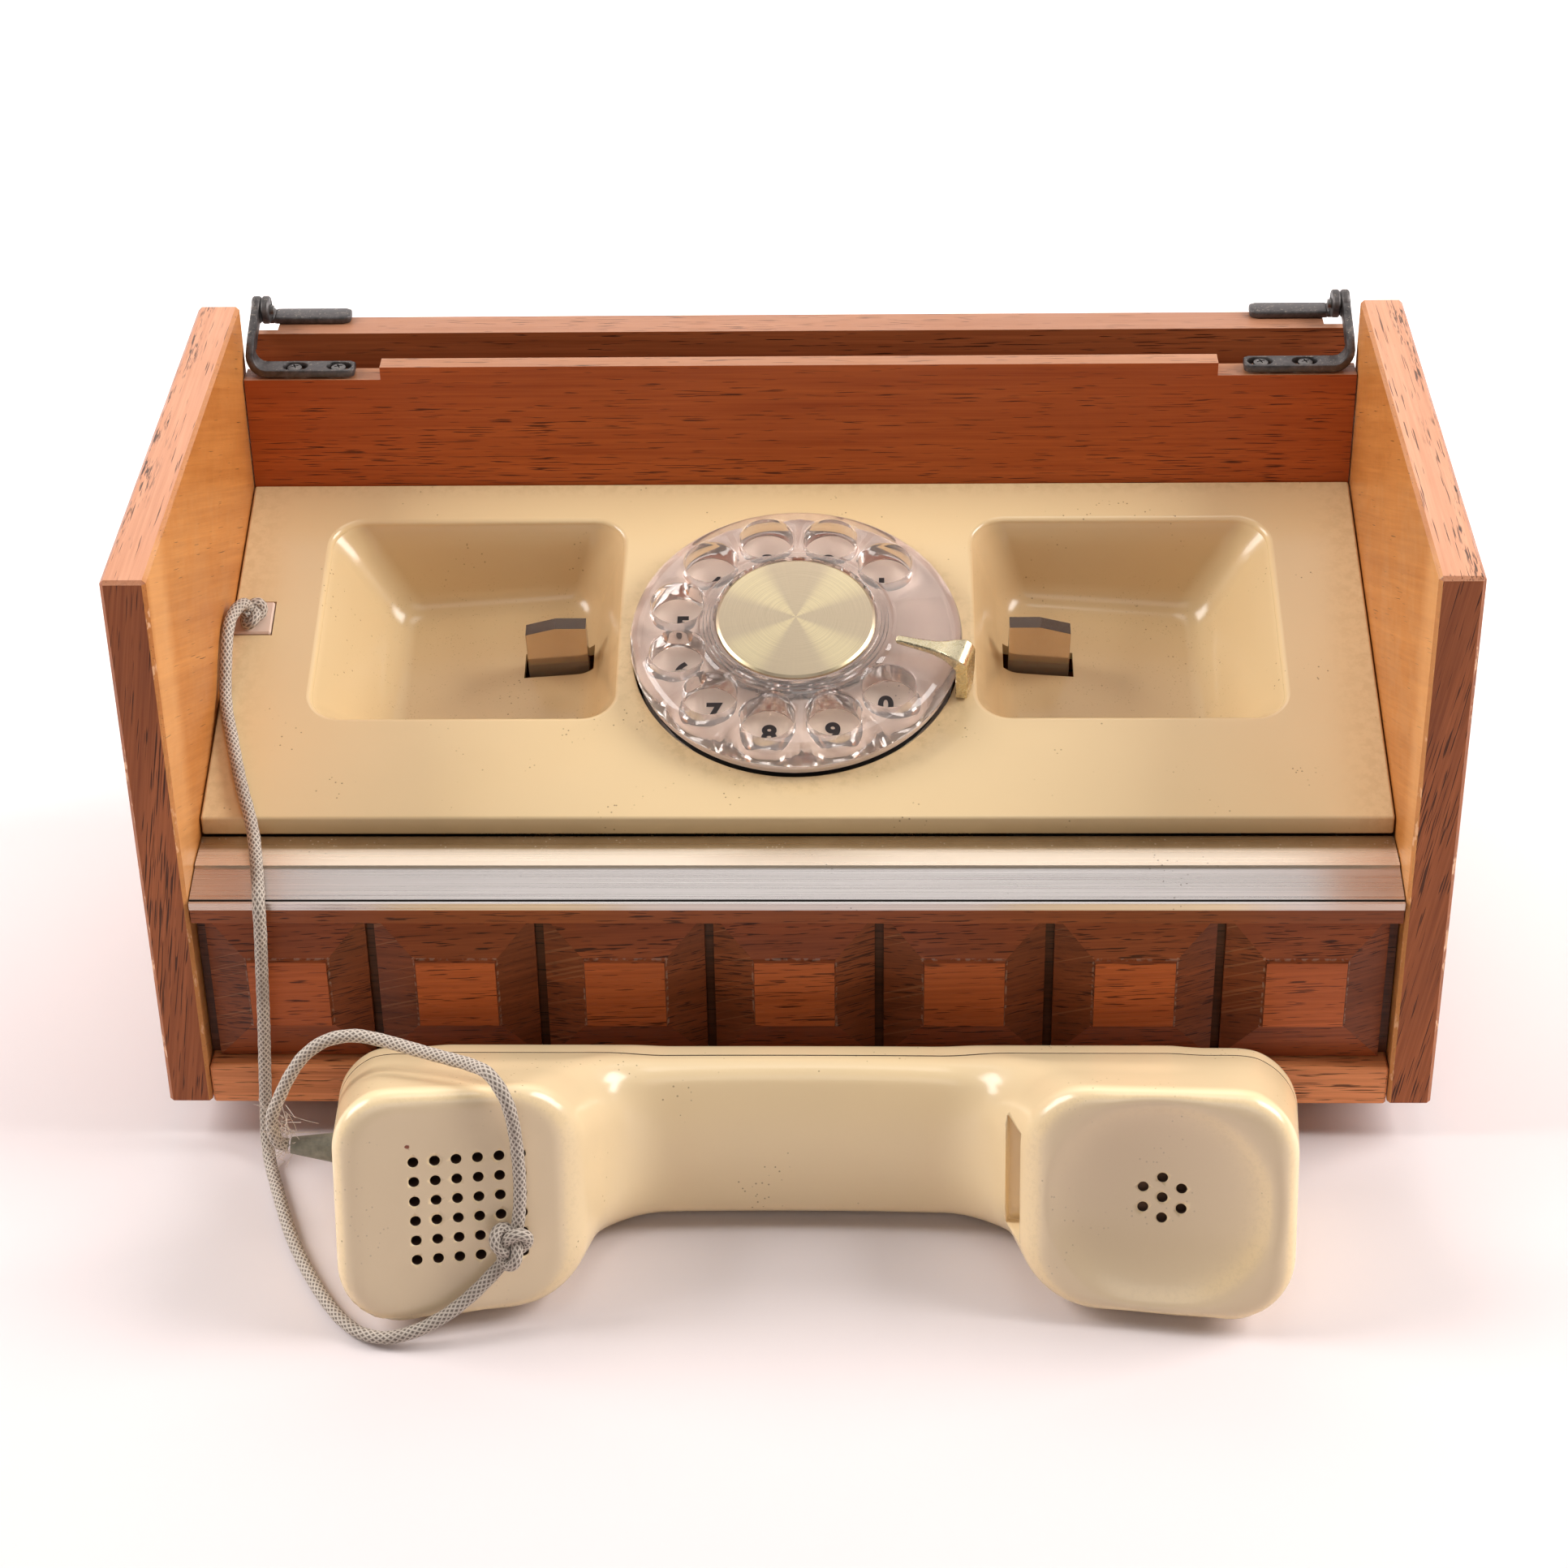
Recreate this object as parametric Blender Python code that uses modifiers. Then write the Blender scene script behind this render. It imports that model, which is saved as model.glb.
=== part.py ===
"""Wood-cased desk telephone with a dial, a handset, its cord and a fold-back lid.

Metres, +Z up, front towards -Y. The origin is on the table, below the middle of the
object's outline without its cord. The lid is drawn closed and then turned to its open place.
"""

import math

import bmesh
import bpy
from mathutils import Matrix, Vector

# ---- driving dimensions ------------------------------------------------------------------
GAP = 0.0003                     # clearance between pieces that touch

CABINET_WIDTH = 0.284
CABINET_DEPTH = 0.127
CABINET_TOP = 0.1475
BOARD = 0.0097                   # side panel thickness
FOOT_HEIGHT = 0.0095
FRONT_Y = -0.0717                # front faces of the side panels

INNER_X = CABINET_WIDTH / 2 - BOARD
FIT_X = INNER_X - GAP            # half width of what fits between the side panels

PLATE_FRONT = 0.021              # front edge of the sloping faceplate, behind FRONT_Y
PLATE_BACK = 0.1207
PLATE_FRONT_Z = 0.0735
PLATE_BACK_Z = 0.1019
PLATE_THICK = 0.003
PLATE_LIP_Z = 0.0689
PLATE_TILT = math.atan2(PLATE_BACK_Z - PLATE_FRONT_Z, PLATE_BACK - PLATE_FRONT)

RECESS_X = (0.0415, 0.111)       # recess rims on the faceplate, either side of the dial
RECESS_S = (0.0296, 0.091)
RECESS_FLOOR_X = (0.0485, 0.0965)
RECESS_FLOOR_S = (0.037, 0.0835)
RECESS_DEPTH_INNER = 0.0185
RECESS_DEPTH_OUTER = 0.0235
RECESS_CORNER = 0.007
RECESS_WALL = 0.0022

PLUNGER_X = (0.0496, 0.0639)
PLUNGER_S = (0.0602, 0.0636)
PLUNGER_TOP = -0.0042
PLUNGER_FOOT = -0.034
PLUNGER_BEVEL = 0.0023

DIAL_S = 0.0497                  # dial centre, up the faceplate
WHEEL_RADIUS = 0.0381
FINGER_HOLE_RADIUS = 0.0056
FINGER_HOLE_CIRCLE = 0.0282
FIRST_HOLE_DEG = 43.4
HOLE_PITCH_DEG = 30.6
FINGER_HOLES = 10
STOP_DEG = -18.0
CAP_RADIUS = 0.0183

BLOCKS = 7
BLOCK_PITCH = 0.0374
BLOCK_WIDTH = 0.0354
BLOCK_SQUARE = 0.0182
BLOCK_BOTTOM = 0.0203
BLOCK_TOP = 0.0595

HINGE_Y = 0.1395                 # lid pivot, behind FRONT_Y
HINGE_Z = 0.140
EYE_RADIUS = 0.003
PIN_RADIUS = 0.0011
LID_HALF_WIDTH = 0.1315
LID_FRONT = 0.0002
LID_BACK = 0.1345
LID_UNDER = 0.1343
LID_TOP = 0.143
LID_FRONT_BOTTOM = 0.0726
LID_OPEN = math.radians(90.0)    # the same place as 270 degrees back from closed

HANDSET_TILT = math.radians(-15.0)
HANDSET_ORIGIN = Vector((0.0, -0.063, 0.0036))
HANDSET_MIDDLE = 0.0264          # half of the cup's height
HANDSET_SEAM = 0.036             # depth of the joint between the two shells
SHELL_WALL = 0.0022

CORD_RADIUS = 0.00145


# ---- materials ---------------------------------------------------------------------------
def principled(name, colour, roughness, metallic=0.0, transmission=0.0):
    material = bpy.data.materials.new(name)
    material.use_nodes = True
    shader = material.node_tree.nodes["Principled BSDF"]
    shader.inputs["Base Color"].default_value = (*colour, 1.0)
    shader.inputs["Roughness"].default_value = roughness
    shader.inputs["Metallic"].default_value = metallic
    shader.inputs["Transmission Weight"].default_value = transmission
    return material


def finish(name, colour, roughness, metallic=0.0, transmission=0.0):
    """A function that makes a fresh copy of one finish, so each piece has its own."""
    def make(node):
        return principled(name + "_" + node, colour, roughness, metallic, transmission)
    return make


OAK = finish("oak", (0.33, 0.12, 0.04), 0.45)
OAK_DARK = finish("oak_dark", (0.2, 0.07, 0.03), 0.5)
IVORY = finish("ivory", (0.78, 0.66, 0.45), 0.35)
CLEAR = finish("clear_plastic", (0.85, 0.8, 0.83), 0.08, transmission=0.8)
SMOKY = finish("smoky_plastic", (0.4, 0.25, 0.18), 0.1, transmission=0.6)
ALUMINIUM = finish("aluminium", (0.8, 0.8, 0.8), 0.3, metallic=1.0)
GOLD = finish("gold", (0.8, 0.68, 0.42), 0.3, metallic=1.0)
BLACK_STEEL = finish("black_steel", (0.03, 0.03, 0.035), 0.4, metallic=0.6)
STEEL = finish("steel", (0.6, 0.6, 0.62), 0.35, metallic=1.0)
BRASS = finish("brass", (0.75, 0.6, 0.3), 0.35, metallic=1.0)
RUBBER = finish("rubber", (0.05, 0.05, 0.05), 0.8)
GREY_RUBBER = finish("grey_rubber", (0.4, 0.42, 0.36), 0.5)
BRAID = finish("braid", (0.38, 0.36, 0.32), 0.9)


# ---- scene and mesh helpers ----------------------------------------------------------------
def clear_scene():
    for thing in list(bpy.data.objects):
        bpy.data.objects.remove(thing)


def collection(name):
    group = bpy.data.collections.new(name)
    bpy.context.scene.collection.children.link(group)
    return group


def add_object(name, mesh, place, make_material):
    obj = bpy.data.objects.new(name, mesh)
    obj.matrix_world = place
    if make_material:
        mesh.materials.append(make_material(name))
        PARTS.objects.link(obj)
    else:
        obj.hide_render = True
        obj.display_type = "WIRE"
        CUTTERS.objects.link(obj)
    return obj


def mesh_from(name, shape):
    bmesh.ops.recalc_face_normals(shape, faces=shape.faces)
    mesh = bpy.data.meshes.new(name)
    shape.to_mesh(mesh)
    shape.free()
    return mesh


def smooth(obj, degrees=35.0):
    obj.data.shade_smooth()
    obj.data.set_sharp_from_angle(angle=math.radians(degrees))
    return obj


def box(name, x, y, z, make_material, place=None, bevel=0.0):
    """A box between the given (low, high) pairs, with its edges bevelled."""
    shape = bmesh.new()
    size = (x[1] - x[0], y[1] - y[0], z[1] - z[0])
    centre = Vector((sum(x) / 2, sum(y) / 2, sum(z) / 2))
    bmesh.ops.create_cube(shape, size=1.0, matrix=Matrix.Diagonal((*size, 1.0)))
    centred = (place or Matrix()) @ Matrix.Translation(centre)
    obj = add_object(name, mesh_from(name, shape), centred, make_material)
    if bevel:
        modifier = obj.modifiers.new("edges", "BEVEL")
        modifier.width = bevel
        modifier.segments = 1
    return obj


def cabinet_box(name, x, y, z, make_material, bevel=0.0):
    """A box whose y is counted back from the cabinet's front."""
    return box(name, x, (FRONT_Y + y[0], FRONT_Y + y[1]), z, make_material, bevel=bevel)


def cylinder(name, radius, low, high, place, make_material, sides=24):
    """A cylinder along the place's local Z."""
    shape = bmesh.new()
    bmesh.ops.create_cone(shape, cap_ends=True, segments=sides, radius1=radius, radius2=radius,
                          depth=high - low, matrix=Matrix.Translation((0, 0, (low + high) / 2)))
    return smooth(add_object(name, mesh_from(name, shape), place, make_material))


def outline_solid(name, outline, thickness, place, make_material):
    """A flat outline in the place's local XY plane, thick along its local Z."""
    curve = bpy.data.curves.new(name, "CURVE")
    curve.dimensions = "2D"
    curve.fill_mode = "BOTH"
    curve.extrude = thickness / 2
    spline = curve.splines.new("POLY")
    spline.points.add(len(outline) - 1)
    for point, (x, y) in zip(spline.points, outline):
        point.co = (x, y, 0.0, 1.0)
    spline.use_cyclic_u = True
    guide = bpy.data.objects.new(name + "_outline", curve)
    bpy.context.scene.collection.objects.link(guide)
    evaluated = guide.evaluated_get(bpy.context.evaluated_depsgraph_get())
    flat = bpy.data.meshes.new_from_object(evaluated)
    shape = bmesh.new()
    shape.from_mesh(flat)
    bmesh.ops.remove_doubles(shape, verts=shape.verts, dist=0.00001)
    bpy.data.objects.remove(guide)
    return add_object(name, mesh_from(name, shape), place, make_material)


def turned(name, profile, place, make_material, steps=32, closed=False):
    """A profile of (radius, height) points turned round the place's local Z."""
    shape = bmesh.new()
    verts = [shape.verts.new((radius, 0.0, height)) for radius, height in profile]
    pairs = list(zip(verts, verts[1:]))
    if closed:
        pairs.append((verts[-1], verts[0]))
    for start, end in pairs:
        shape.edges.new((start, end))
    mesh = bpy.data.meshes.new(name)
    shape.to_mesh(mesh)
    shape.free()
    obj = add_object(name, mesh, place, make_material)
    screw = obj.modifiers.new("turn", "SCREW")
    screw.axis = "Z"
    screw.steps = steps
    screw.render_steps = steps
    screw.use_merge_vertices = True
    screw.merge_threshold = 0.00001
    screw.use_smooth_shade = True
    return obj


def loft(name, rings, place, make_material):
    """A closed skin through rings of the same number of points, with flat ends."""
    shape = bmesh.new()
    loops = [[shape.verts.new(point) for point in ring] for ring in rings]
    count = len(loops[0])
    for lower, upper in zip(loops, loops[1:]):
        for i in range(count):
            j = (i + 1) % count
            shape.faces.new((lower[i], lower[j], upper[j], upper[i]))
    shape.faces.new(loops[0][::-1])
    shape.faces.new(loops[-1])
    return smooth(add_object(name, mesh_from(name, shape), place, make_material))


def boolean(obj, other, operation):
    modifier = obj.modifiers.new(operation.lower(), "BOOLEAN")
    modifier.operation = operation
    modifier.object = other


def cut(obj, *cutters):
    for cutter in cutters:
        boolean(obj, cutter, "DIFFERENCE")


def join(obj, *others):
    for other in others:
        boolean(obj, other, "UNION")


def side_name(side):
    return "left" if side < 0 else "right"


def span(side, near, far):
    """The (low, high) pair of a stretch on one side of the middle."""
    return (near, far) if side > 0 else (-far, -near)


def rounded_rectangle(x, y, radius, steps=3):
    points = []
    corners = ((x[1], y[1], 0), (x[0], y[1], 90), (x[0], y[0], 180), (x[1], y[0], 270))
    for corner_x, corner_y, start in corners:
        centre_x = corner_x - math.copysign(radius, corner_x - sum(x) / 2)
        centre_y = corner_y - math.copysign(radius, corner_y - sum(y) / 2)
        for step in range(steps + 1):
            angle = math.radians(start + 90 * step / steps)
            points.append((centre_x + radius * math.cos(angle),
                           centre_y + radius * math.sin(angle)))
    return points


def capsule_outline(start, start_radius, end, end_radius, steps=6):
    """Two round ends joined by straight sides."""
    heading = math.atan2(end[1] - start[1], end[0] - start[0])
    points = []
    for centre, radius, turn in ((end, end_radius, -90), (start, start_radius, 90)):
        for step in range(steps + 1):
            angle = heading + math.radians(turn + 180 * step / steps)
            points.append((centre[0] + radius * math.cos(angle),
                           centre[1] + radius * math.sin(angle)))
    return points


# ---- frames ------------------------------------------------------------------------------
def plate_frame():
    """X across, Y up the slope from the front edge, Z out of the faceplate."""
    corner = Matrix.Translation((0.0, FRONT_Y + PLATE_FRONT, PLATE_FRONT_Z))
    return corner @ Matrix.Rotation(PLATE_TILT, 4, "X")


def section_frame(x=0.0):
    """Local X is world Y from the cabinet's front, local Y is world Z, local Z is world X."""
    turn = Matrix(((0, 0, 1, 0), (1, 0, 0, 0), (0, 1, 0, 0), (0, 0, 0, 1)))
    return Matrix.Translation((x, FRONT_Y, 0.0)) @ turn


def guide_empty(name, place):
    """An empty on a joint's axis, for the moving pieces to hang from."""
    empty = bpy.data.objects.new(name, None)
    empty.matrix_world = place
    CUTTERS.objects.link(empty)
    return empty


def hang(obj, empty):
    """Parent a piece to its joint's empty and leave it where it is."""
    bpy.context.view_layer.update()
    world = obj.matrix_world.copy()
    obj.parent = empty
    obj.matrix_parent_inverse = empty.matrix_world.inverted()
    obj.matrix_world = world


# ---- cabinet -----------------------------------------------------------------------------
def cabinet():
    for side in (-1, 1):
        cabinet_box("side_panel_" + side_name(side), span(side, INNER_X, CABINET_WIDTH / 2),
                    (0.0, CABINET_DEPTH), (FOOT_HEIGHT, CABINET_TOP), OAK, bevel=0.0008)
    across = (-FIT_X, FIT_X)
    back_y, notch_z, raised_z = 0.121, 0.1305, 0.1338
    back = cabinet_box("back_panel", across, (back_y, CABINET_DEPTH),
                       (FOOT_HEIGHT, notch_z), OAK)
    raised = cabinet_box("raised_edge", (-0.0993, 0.0993), (back_y, back_y + 0.0046),
                         (notch_z - 0.01, raised_z), None)
    join(back, raised)
    cabinet_box("base_board", across, (0.0099, back_y - GAP),
                (FOOT_HEIGHT, FOOT_HEIGHT + 0.006), OAK)
    cabinet_box("front_rail_bottom", across, (0.0002, 0.0096), (FOOT_HEIGHT, 0.0199), OAK,
                bevel=0.0005)
    cabinet_box("front_rail_top", across, (0.0004, 0.0205), (0.0599, 0.0634), OAK_DARK)
    cabinet_box("block_backing_board", across, (0.0056, 0.0096),
                (0.0202, 0.0596), OAK_DARK)
    trim = [(0.0, 0.0637), (0.0208, 0.0637), (0.0208, 0.0686), (0.0103, 0.0683),
            (0.0103, 0.0677), (0.0012, 0.06575), (0.0009, 0.0652), (0.0006, 0.0656),
            (0.0, 0.0655)]
    outline_solid("metal_trim", trim, 2 * FIT_X, section_frame(), ALUMINIUM)
    for index, (x, y) in enumerate(((-0.112, 0.024), (0.112, 0.024),
                                    (-0.112, 0.106), (0.112, 0.106)), start=1):
        turned("rubber_foot_%d" % index,
               [(0.0, FOOT_HEIGHT - GAP), (0.009, FOOT_HEIGHT - GAP), (0.0075, 0.0), (0.0, 0.0)],
               Matrix.Translation((x, FRONT_Y + y, 0.0)), RUBBER, steps=20)


def block_steps(depth_front, depth_back):
    """(inset, depth) of a raised block's rings, from its back to its square face."""
    bevel_end = (BLOCK_WIDTH - BLOCK_SQUARE) / 2
    return ((0.0, depth_back), (0.0, depth_back - 0.0012), (bevel_end, depth_front + 0.0009),
            (bevel_end + 0.0003, depth_front))


def block_rings(x, z, depth_front, depth_back):
    """Rings of a block between x and z pairs; its centre square keeps the same size."""
    rings = []
    spare = (z[1] - z[0] - (x[1] - x[0])) / 2
    for inset, depth in block_steps(depth_front, depth_back):
        upright = inset * (1 + 2 * spare / (BLOCK_WIDTH - BLOCK_SQUARE))
        rings.append([(x[0] + inset, FRONT_Y + depth, z[0] + upright),
                      (x[1] - inset, FRONT_Y + depth, z[0] + upright),
                      (x[1] - inset, FRONT_Y + depth, z[1] - upright),
                      (x[0] + inset, FRONT_Y + depth, z[1] - upright)])
    return rings


def block_span(index):
    centre = (index - (BLOCKS - 1) / 2) * BLOCK_PITCH
    return (centre - BLOCK_WIDTH / 2, centre + BLOCK_WIDTH / 2)


def raised_blocks():
    for index in range(BLOCKS):
        loft("raised_block_%d" % (index + 1),
             block_rings(block_span(index), (BLOCK_BOTTOM, BLOCK_TOP), 0.0008, 0.0053),
             Matrix(), OAK)


# ---- faceplate and what it holds -----------------------------------------------------------
def recess_depth(x):
    """Depth of a recess floor: it falls away from the dial."""
    inner, outer = RECESS_FLOOR_X
    share = (abs(x) - inner) / (outer - inner)
    return RECESS_DEPTH_INNER + share * (RECESS_DEPTH_OUTER - RECESS_DEPTH_INNER)


def recess_shape(name, side, grow, top):
    """A recess as a solid; grow is how far it stands outside the inner skin."""
    def ring(x, s, radius, height):
        points = rounded_rectangle(span(side, x[0] - grow, x[1] + grow),
                                   (s[0] - grow, s[1] + grow), radius + grow)
        return [(px, py, height(px)) for px, py in points]

    rings = [ring(RECESS_X, RECESS_S, RECESS_CORNER, lambda x: top),
             ring(RECESS_X, RECESS_S, RECESS_CORNER, lambda x: -0.001),
             ring(RECESS_FLOOR_X, RECESS_FLOOR_S, RECESS_CORNER - 0.001,
                  lambda x: -recess_depth(x) - grow)]
    if grow:
        rings = rings[1:]
    return loft(name, rings, plate_frame(), None)


def faceplate():
    outline = [(PLATE_FRONT, PLATE_FRONT_Z), (PLATE_FRONT, PLATE_LIP_Z),
               (PLATE_FRONT + PLATE_THICK, PLATE_LIP_Z),
               (PLATE_FRONT + PLATE_THICK, PLATE_FRONT_Z - 0.0023),
               (PLATE_BACK, PLATE_BACK_Z - PLATE_THICK / math.cos(PLATE_TILT)),
               (PLATE_BACK, PLATE_BACK_Z)]
    plate = outline_solid("faceplate", outline, 2 * FIT_X, section_frame(), IVORY)
    frame = plate_frame()
    for side in (-1, 1):
        join(plate, recess_shape("recess_shell_" + side_name(side), side, RECESS_WALL, 0.0))
    for side in (-1, 1):
        slot = box("plunger_slot_" + side_name(side), span(side, 0.0486, 0.0649),
                   (0.0592, 0.0664), (-0.04, -0.014), None, place=frame)
        cut(plate, recess_shape("recess_hollow_" + side_name(side), side, 0.0, 0.002), slot)
    dial_place = frame @ Matrix.Translation((0.0, DIAL_S, 0.0))
    cut(plate, cylinder("dial_opening", 0.0363, -0.01, 0.01, dial_place, None, sides=48))
    cut(plate, box("cord_notch", (-0.14, -0.1223), (0.0547, 0.0653), (-0.01, 0.01), None,
                   place=frame))
    box("cord_insert", (-0.1319, -0.1226), (0.055, 0.065), (-0.003, 0.0005), IVORY,
        place=frame, bevel=0.0004)


def hookswitch():
    frame = plate_frame()
    axis = guide_empty("hookswitch_axis", frame @ Matrix.Translation((0.0, 0.062, -0.004)))
    middle_s = sum(PLUNGER_S) / 2
    upright = Matrix.Translation((0.0, middle_s, 0.0)) @ Matrix.Rotation(math.pi / 2, 4, "X")
    for side in (-1, 1):
        inner, outer = PLUNGER_X
        mid = (inner + outer) / 2
        outline = [(side * inner, PLUNGER_FOOT), (side * inner, PLUNGER_TOP),
                   (side * mid, PLUNGER_TOP), (side * outer, PLUNGER_TOP - PLUNGER_BEVEL),
                   (side * outer, PLUNGER_FOOT)]
        plunger = outline_solid("plunger_" + side_name(side), outline,
                                PLUNGER_S[1] - PLUNGER_S[0], frame @ upright, SMOKY)
        hang(plunger, axis)
    bar = box("hook_bar", (-0.066, 0.066), (0.0585, 0.0655),
              (PLUNGER_FOOT - 0.0025, PLUNGER_FOOT - GAP), STEEL, place=frame)
    hang(bar, axis)
    cabinet_box("switch_contacts", (0.022, 0.042), (0.084, 0.098), (0.0158, 0.040), BRASS)


# ---- dial --------------------------------------------------------------------------------
def dial():
    place = plate_frame() @ Matrix.Translation((0.0, DIAL_S, 0.0))
    axis = guide_empty("dial_axis", place)
    turned("dial_housing",
           [(0.0355, 0.0), (0.0355, -0.026), (0.0, -0.026), (0.0, -0.024),
            (0.0335, -0.024), (0.0335, 0.0)], place, STEEL, steps=36, closed=True)
    turned("number_plate",
           [(0.0032, 0.0018), (0.0365, 0.0018), (0.0365, 0.0003), (0.0032, 0.0003)],
           place, IVORY, steps=48, closed=True)
    wheel = turned("finger_wheel",
                   [(0.0, 0.0098), (0.0188, 0.0098), (0.0188, 0.011), (0.0214, 0.0105),
                    (0.0224, 0.0089), (0.0345, 0.0085), (0.0368, 0.0072),
                    (WHEEL_RADIUS, 0.0046), (WHEEL_RADIUS, 0.0028), (0.0, 0.0028)],
                   place, CLEAR, steps=48)
    holes = bmesh.new()
    for index in range(FINGER_HOLES):
        angle = math.radians(FIRST_HOLE_DEG + HOLE_PITCH_DEG * index)
        spot = Vector((math.cos(angle), math.sin(angle), 0.0)) * FINGER_HOLE_CIRCLE
        bmesh.ops.create_cone(holes, cap_ends=True, segments=16, radius1=FINGER_HOLE_RADIUS,
                              radius2=FINGER_HOLE_RADIUS, depth=0.03,
                              matrix=Matrix.Translation(spot))
    cut(wheel, add_object("finger_holes", mesh_from("finger_holes", holes), place, None))
    cap = turned("dial_cap",
                 [(0.0, 0.0113), (CAP_RADIUS - 0.0008, 0.0112), (CAP_RADIUS, 0.0106),
                  (CAP_RADIUS, 0.0101), (0.0, 0.0101)], place, GOLD, steps=36)
    shaft = cylinder("dial_shaft", 0.0026, -0.0235, 0.0025, place, STEEL, sides=16)
    gear = turned("main_gear",
                  [(0.003, -0.006), (0.019, -0.006), (0.019, -0.008), (0.003, -0.008)],
                  place, BRASS, steps=32, closed=True)
    for piece in (wheel, cap, shaft, gear):
        hang(piece, axis)
    governor_place = place @ Matrix.Translation((0.0242, 0.0, 0.0))
    governor_axis = guide_empty("governor_axis", governor_place)
    rotor = turned("governor_rotor",
                   [(0.0, -0.005), (0.0048, -0.005), (0.0048, -0.009), (0.0022, -0.0095),
                    (0.0022, -0.013), (0.007, -0.014), (0.007, -0.021), (0.0, -0.021)],
                   governor_place, BRASS, steps=20)
    hang(rotor, governor_axis)
    finger_stop(place)


def finger_stop(place):
    """A hooked arm over the wheel, on a leg that stands on the faceplate."""
    turn = Matrix.Rotation(math.radians(STOP_DEG), 4, "Z")
    upright = Matrix.Rotation(math.pi / 2, 4, "X")
    arm = [(0.0245, 0.0114), (0.0388, 0.0114), (0.0386, 0.0003), (0.0416, 0.0003),
           (0.0418, 0.0118), (0.0412, 0.0129), (0.034, 0.0128), (0.025, 0.0126),
           (0.0241, 0.012)]
    outline_solid("finger_stop", arm, 0.0058, place @ turn @ upright, GOLD)


# ---- lid and hinges ----------------------------------------------------------------------
def hinge_point():
    return Vector((0.0, FRONT_Y + HINGE_Y, HINGE_Z))


def open_lid(obj, axis):
    """Turn a piece that was drawn on the closed lid to the open lid's place."""
    bpy.context.view_layer.update()
    pivot = Matrix.Translation(hinge_point())
    swing = pivot @ Matrix.Rotation(LID_OPEN, 4, "X") @ pivot.inverted()
    obj.matrix_world = swing @ obj.matrix_world
    hang(obj, axis)


def eye_hole(name, x):
    place = Matrix.Translation((x, FRONT_Y + HINGE_Y, HINGE_Z))
    place = place @ Matrix.Rotation(math.pi / 2, 4, "Y")
    return cylinder(name, PIN_RADIUS + 0.0002, -0.004, 0.004, place, None, sides=16)


def hinges():
    for side in (-1, 1):
        label = side_name(side)
        plate_x = span(side, 0.1297, 0.1316)
        link = capsule_outline((0.125, 0.1329), 0.002, (HINGE_Y, HINGE_Z), EYE_RADIUS)
        bracket = outline_solid("hinge_bracket_" + label, link, 0.0019,
                                section_frame(sum(plate_x) / 2), BLACK_STEEL)
        arm = cabinet_box("bracket_arm_" + label, span(side, 0.1056, 0.1315),
                          (0.1214, 0.1268), (0.1308, 0.1328), None, bevel=0.0004)
        join(bracket, arm)
        cut(bracket, eye_hole("fixed_eye_" + label, sum(plate_x) / 2))
        pin_place = Matrix.Translation((0.0, FRONT_Y + HINGE_Y, HINGE_Z))
        pin_place = pin_place @ Matrix.Rotation(math.pi / 2, 4, "Y")
        low, high = span(side, 0.1266, 0.132)
        cylinder("hinge_pin_" + label, PIN_RADIUS, low, high, pin_place, STEEL, sides=16)


def lid():
    axis = guide_empty("lid_axis", Matrix.Translation(hinge_point()))
    across = (-LID_HALF_WIDTH, LID_HALF_WIDTH)
    top = cabinet_box("lid_top_board", across, (0.0106, LID_BACK), (LID_UNDER, LID_TOP), OAK)
    pieces = [top]
    for side in (-1, 1):
        notch = cabinet_box("lid_notch_" + side_name(side), span(side, 0.126, 0.14),
                            (0.1225, 0.14), (LID_UNDER - 0.01, 0.1409), None)
        cut(top, notch)
        pieces.append(notch)
    pieces.append(cabinet_box("lid_front_board", across, (0.0049, 0.0103),
                              (LID_FRONT_BOTTOM, LID_TOP), OAK))
    row_height = (LID_TOP - LID_FRONT_BOTTOM + 0.0014 - 0.002) / 2
    for row, low in (("lower", LID_FRONT_BOTTOM - 0.0014),
                     ("upper", LID_TOP - row_height)):
        strip = cabinet_box("lid_block_row_" + row, (-0.1305, 0.1305), (0.0037, 0.0046),
                            (low, low + row_height), OAK)
        pieces.append(strip)
        for index in range(BLOCKS):
            block = loft("row_block_%s_%d" % (row, index),
                         block_rings(block_span(index), (low + 0.0001, low + row_height - 0.0001),
                                     LID_FRONT, 0.0044), Matrix(), None)
            join(strip, block)
            pieces.append(block)
    for side in (-1, 1):
        pieces += lid_bracket(side)
    for piece in pieces:
        open_lid(piece, axis)


def lid_bracket(side):
    """The moving leaf: an arm under the lid's rear edge and an eye on the pin."""
    label = side_name(side)
    plate_x = span(side, 0.1275, 0.1293)
    link = capsule_outline((0.1318, 0.1334), 0.0013, (HINGE_Y, HINGE_Z), EYE_RADIUS)
    bracket = outline_solid("lid_bracket_" + label, link, 0.0018,
                            section_frame(sum(plate_x) / 2), BLACK_STEEL)
    arm = cabinet_box("lid_arm_" + label, span(side, 0.1085, 0.1292), (0.1288, 0.1345),
                      (0.132, 0.134), None, bevel=0.0004)
    join(bracket, arm)
    hole = eye_hole("lid_eye_" + label, sum(plate_x) / 2)
    cut(bracket, hole)
    return [bracket, arm, hole]


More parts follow.
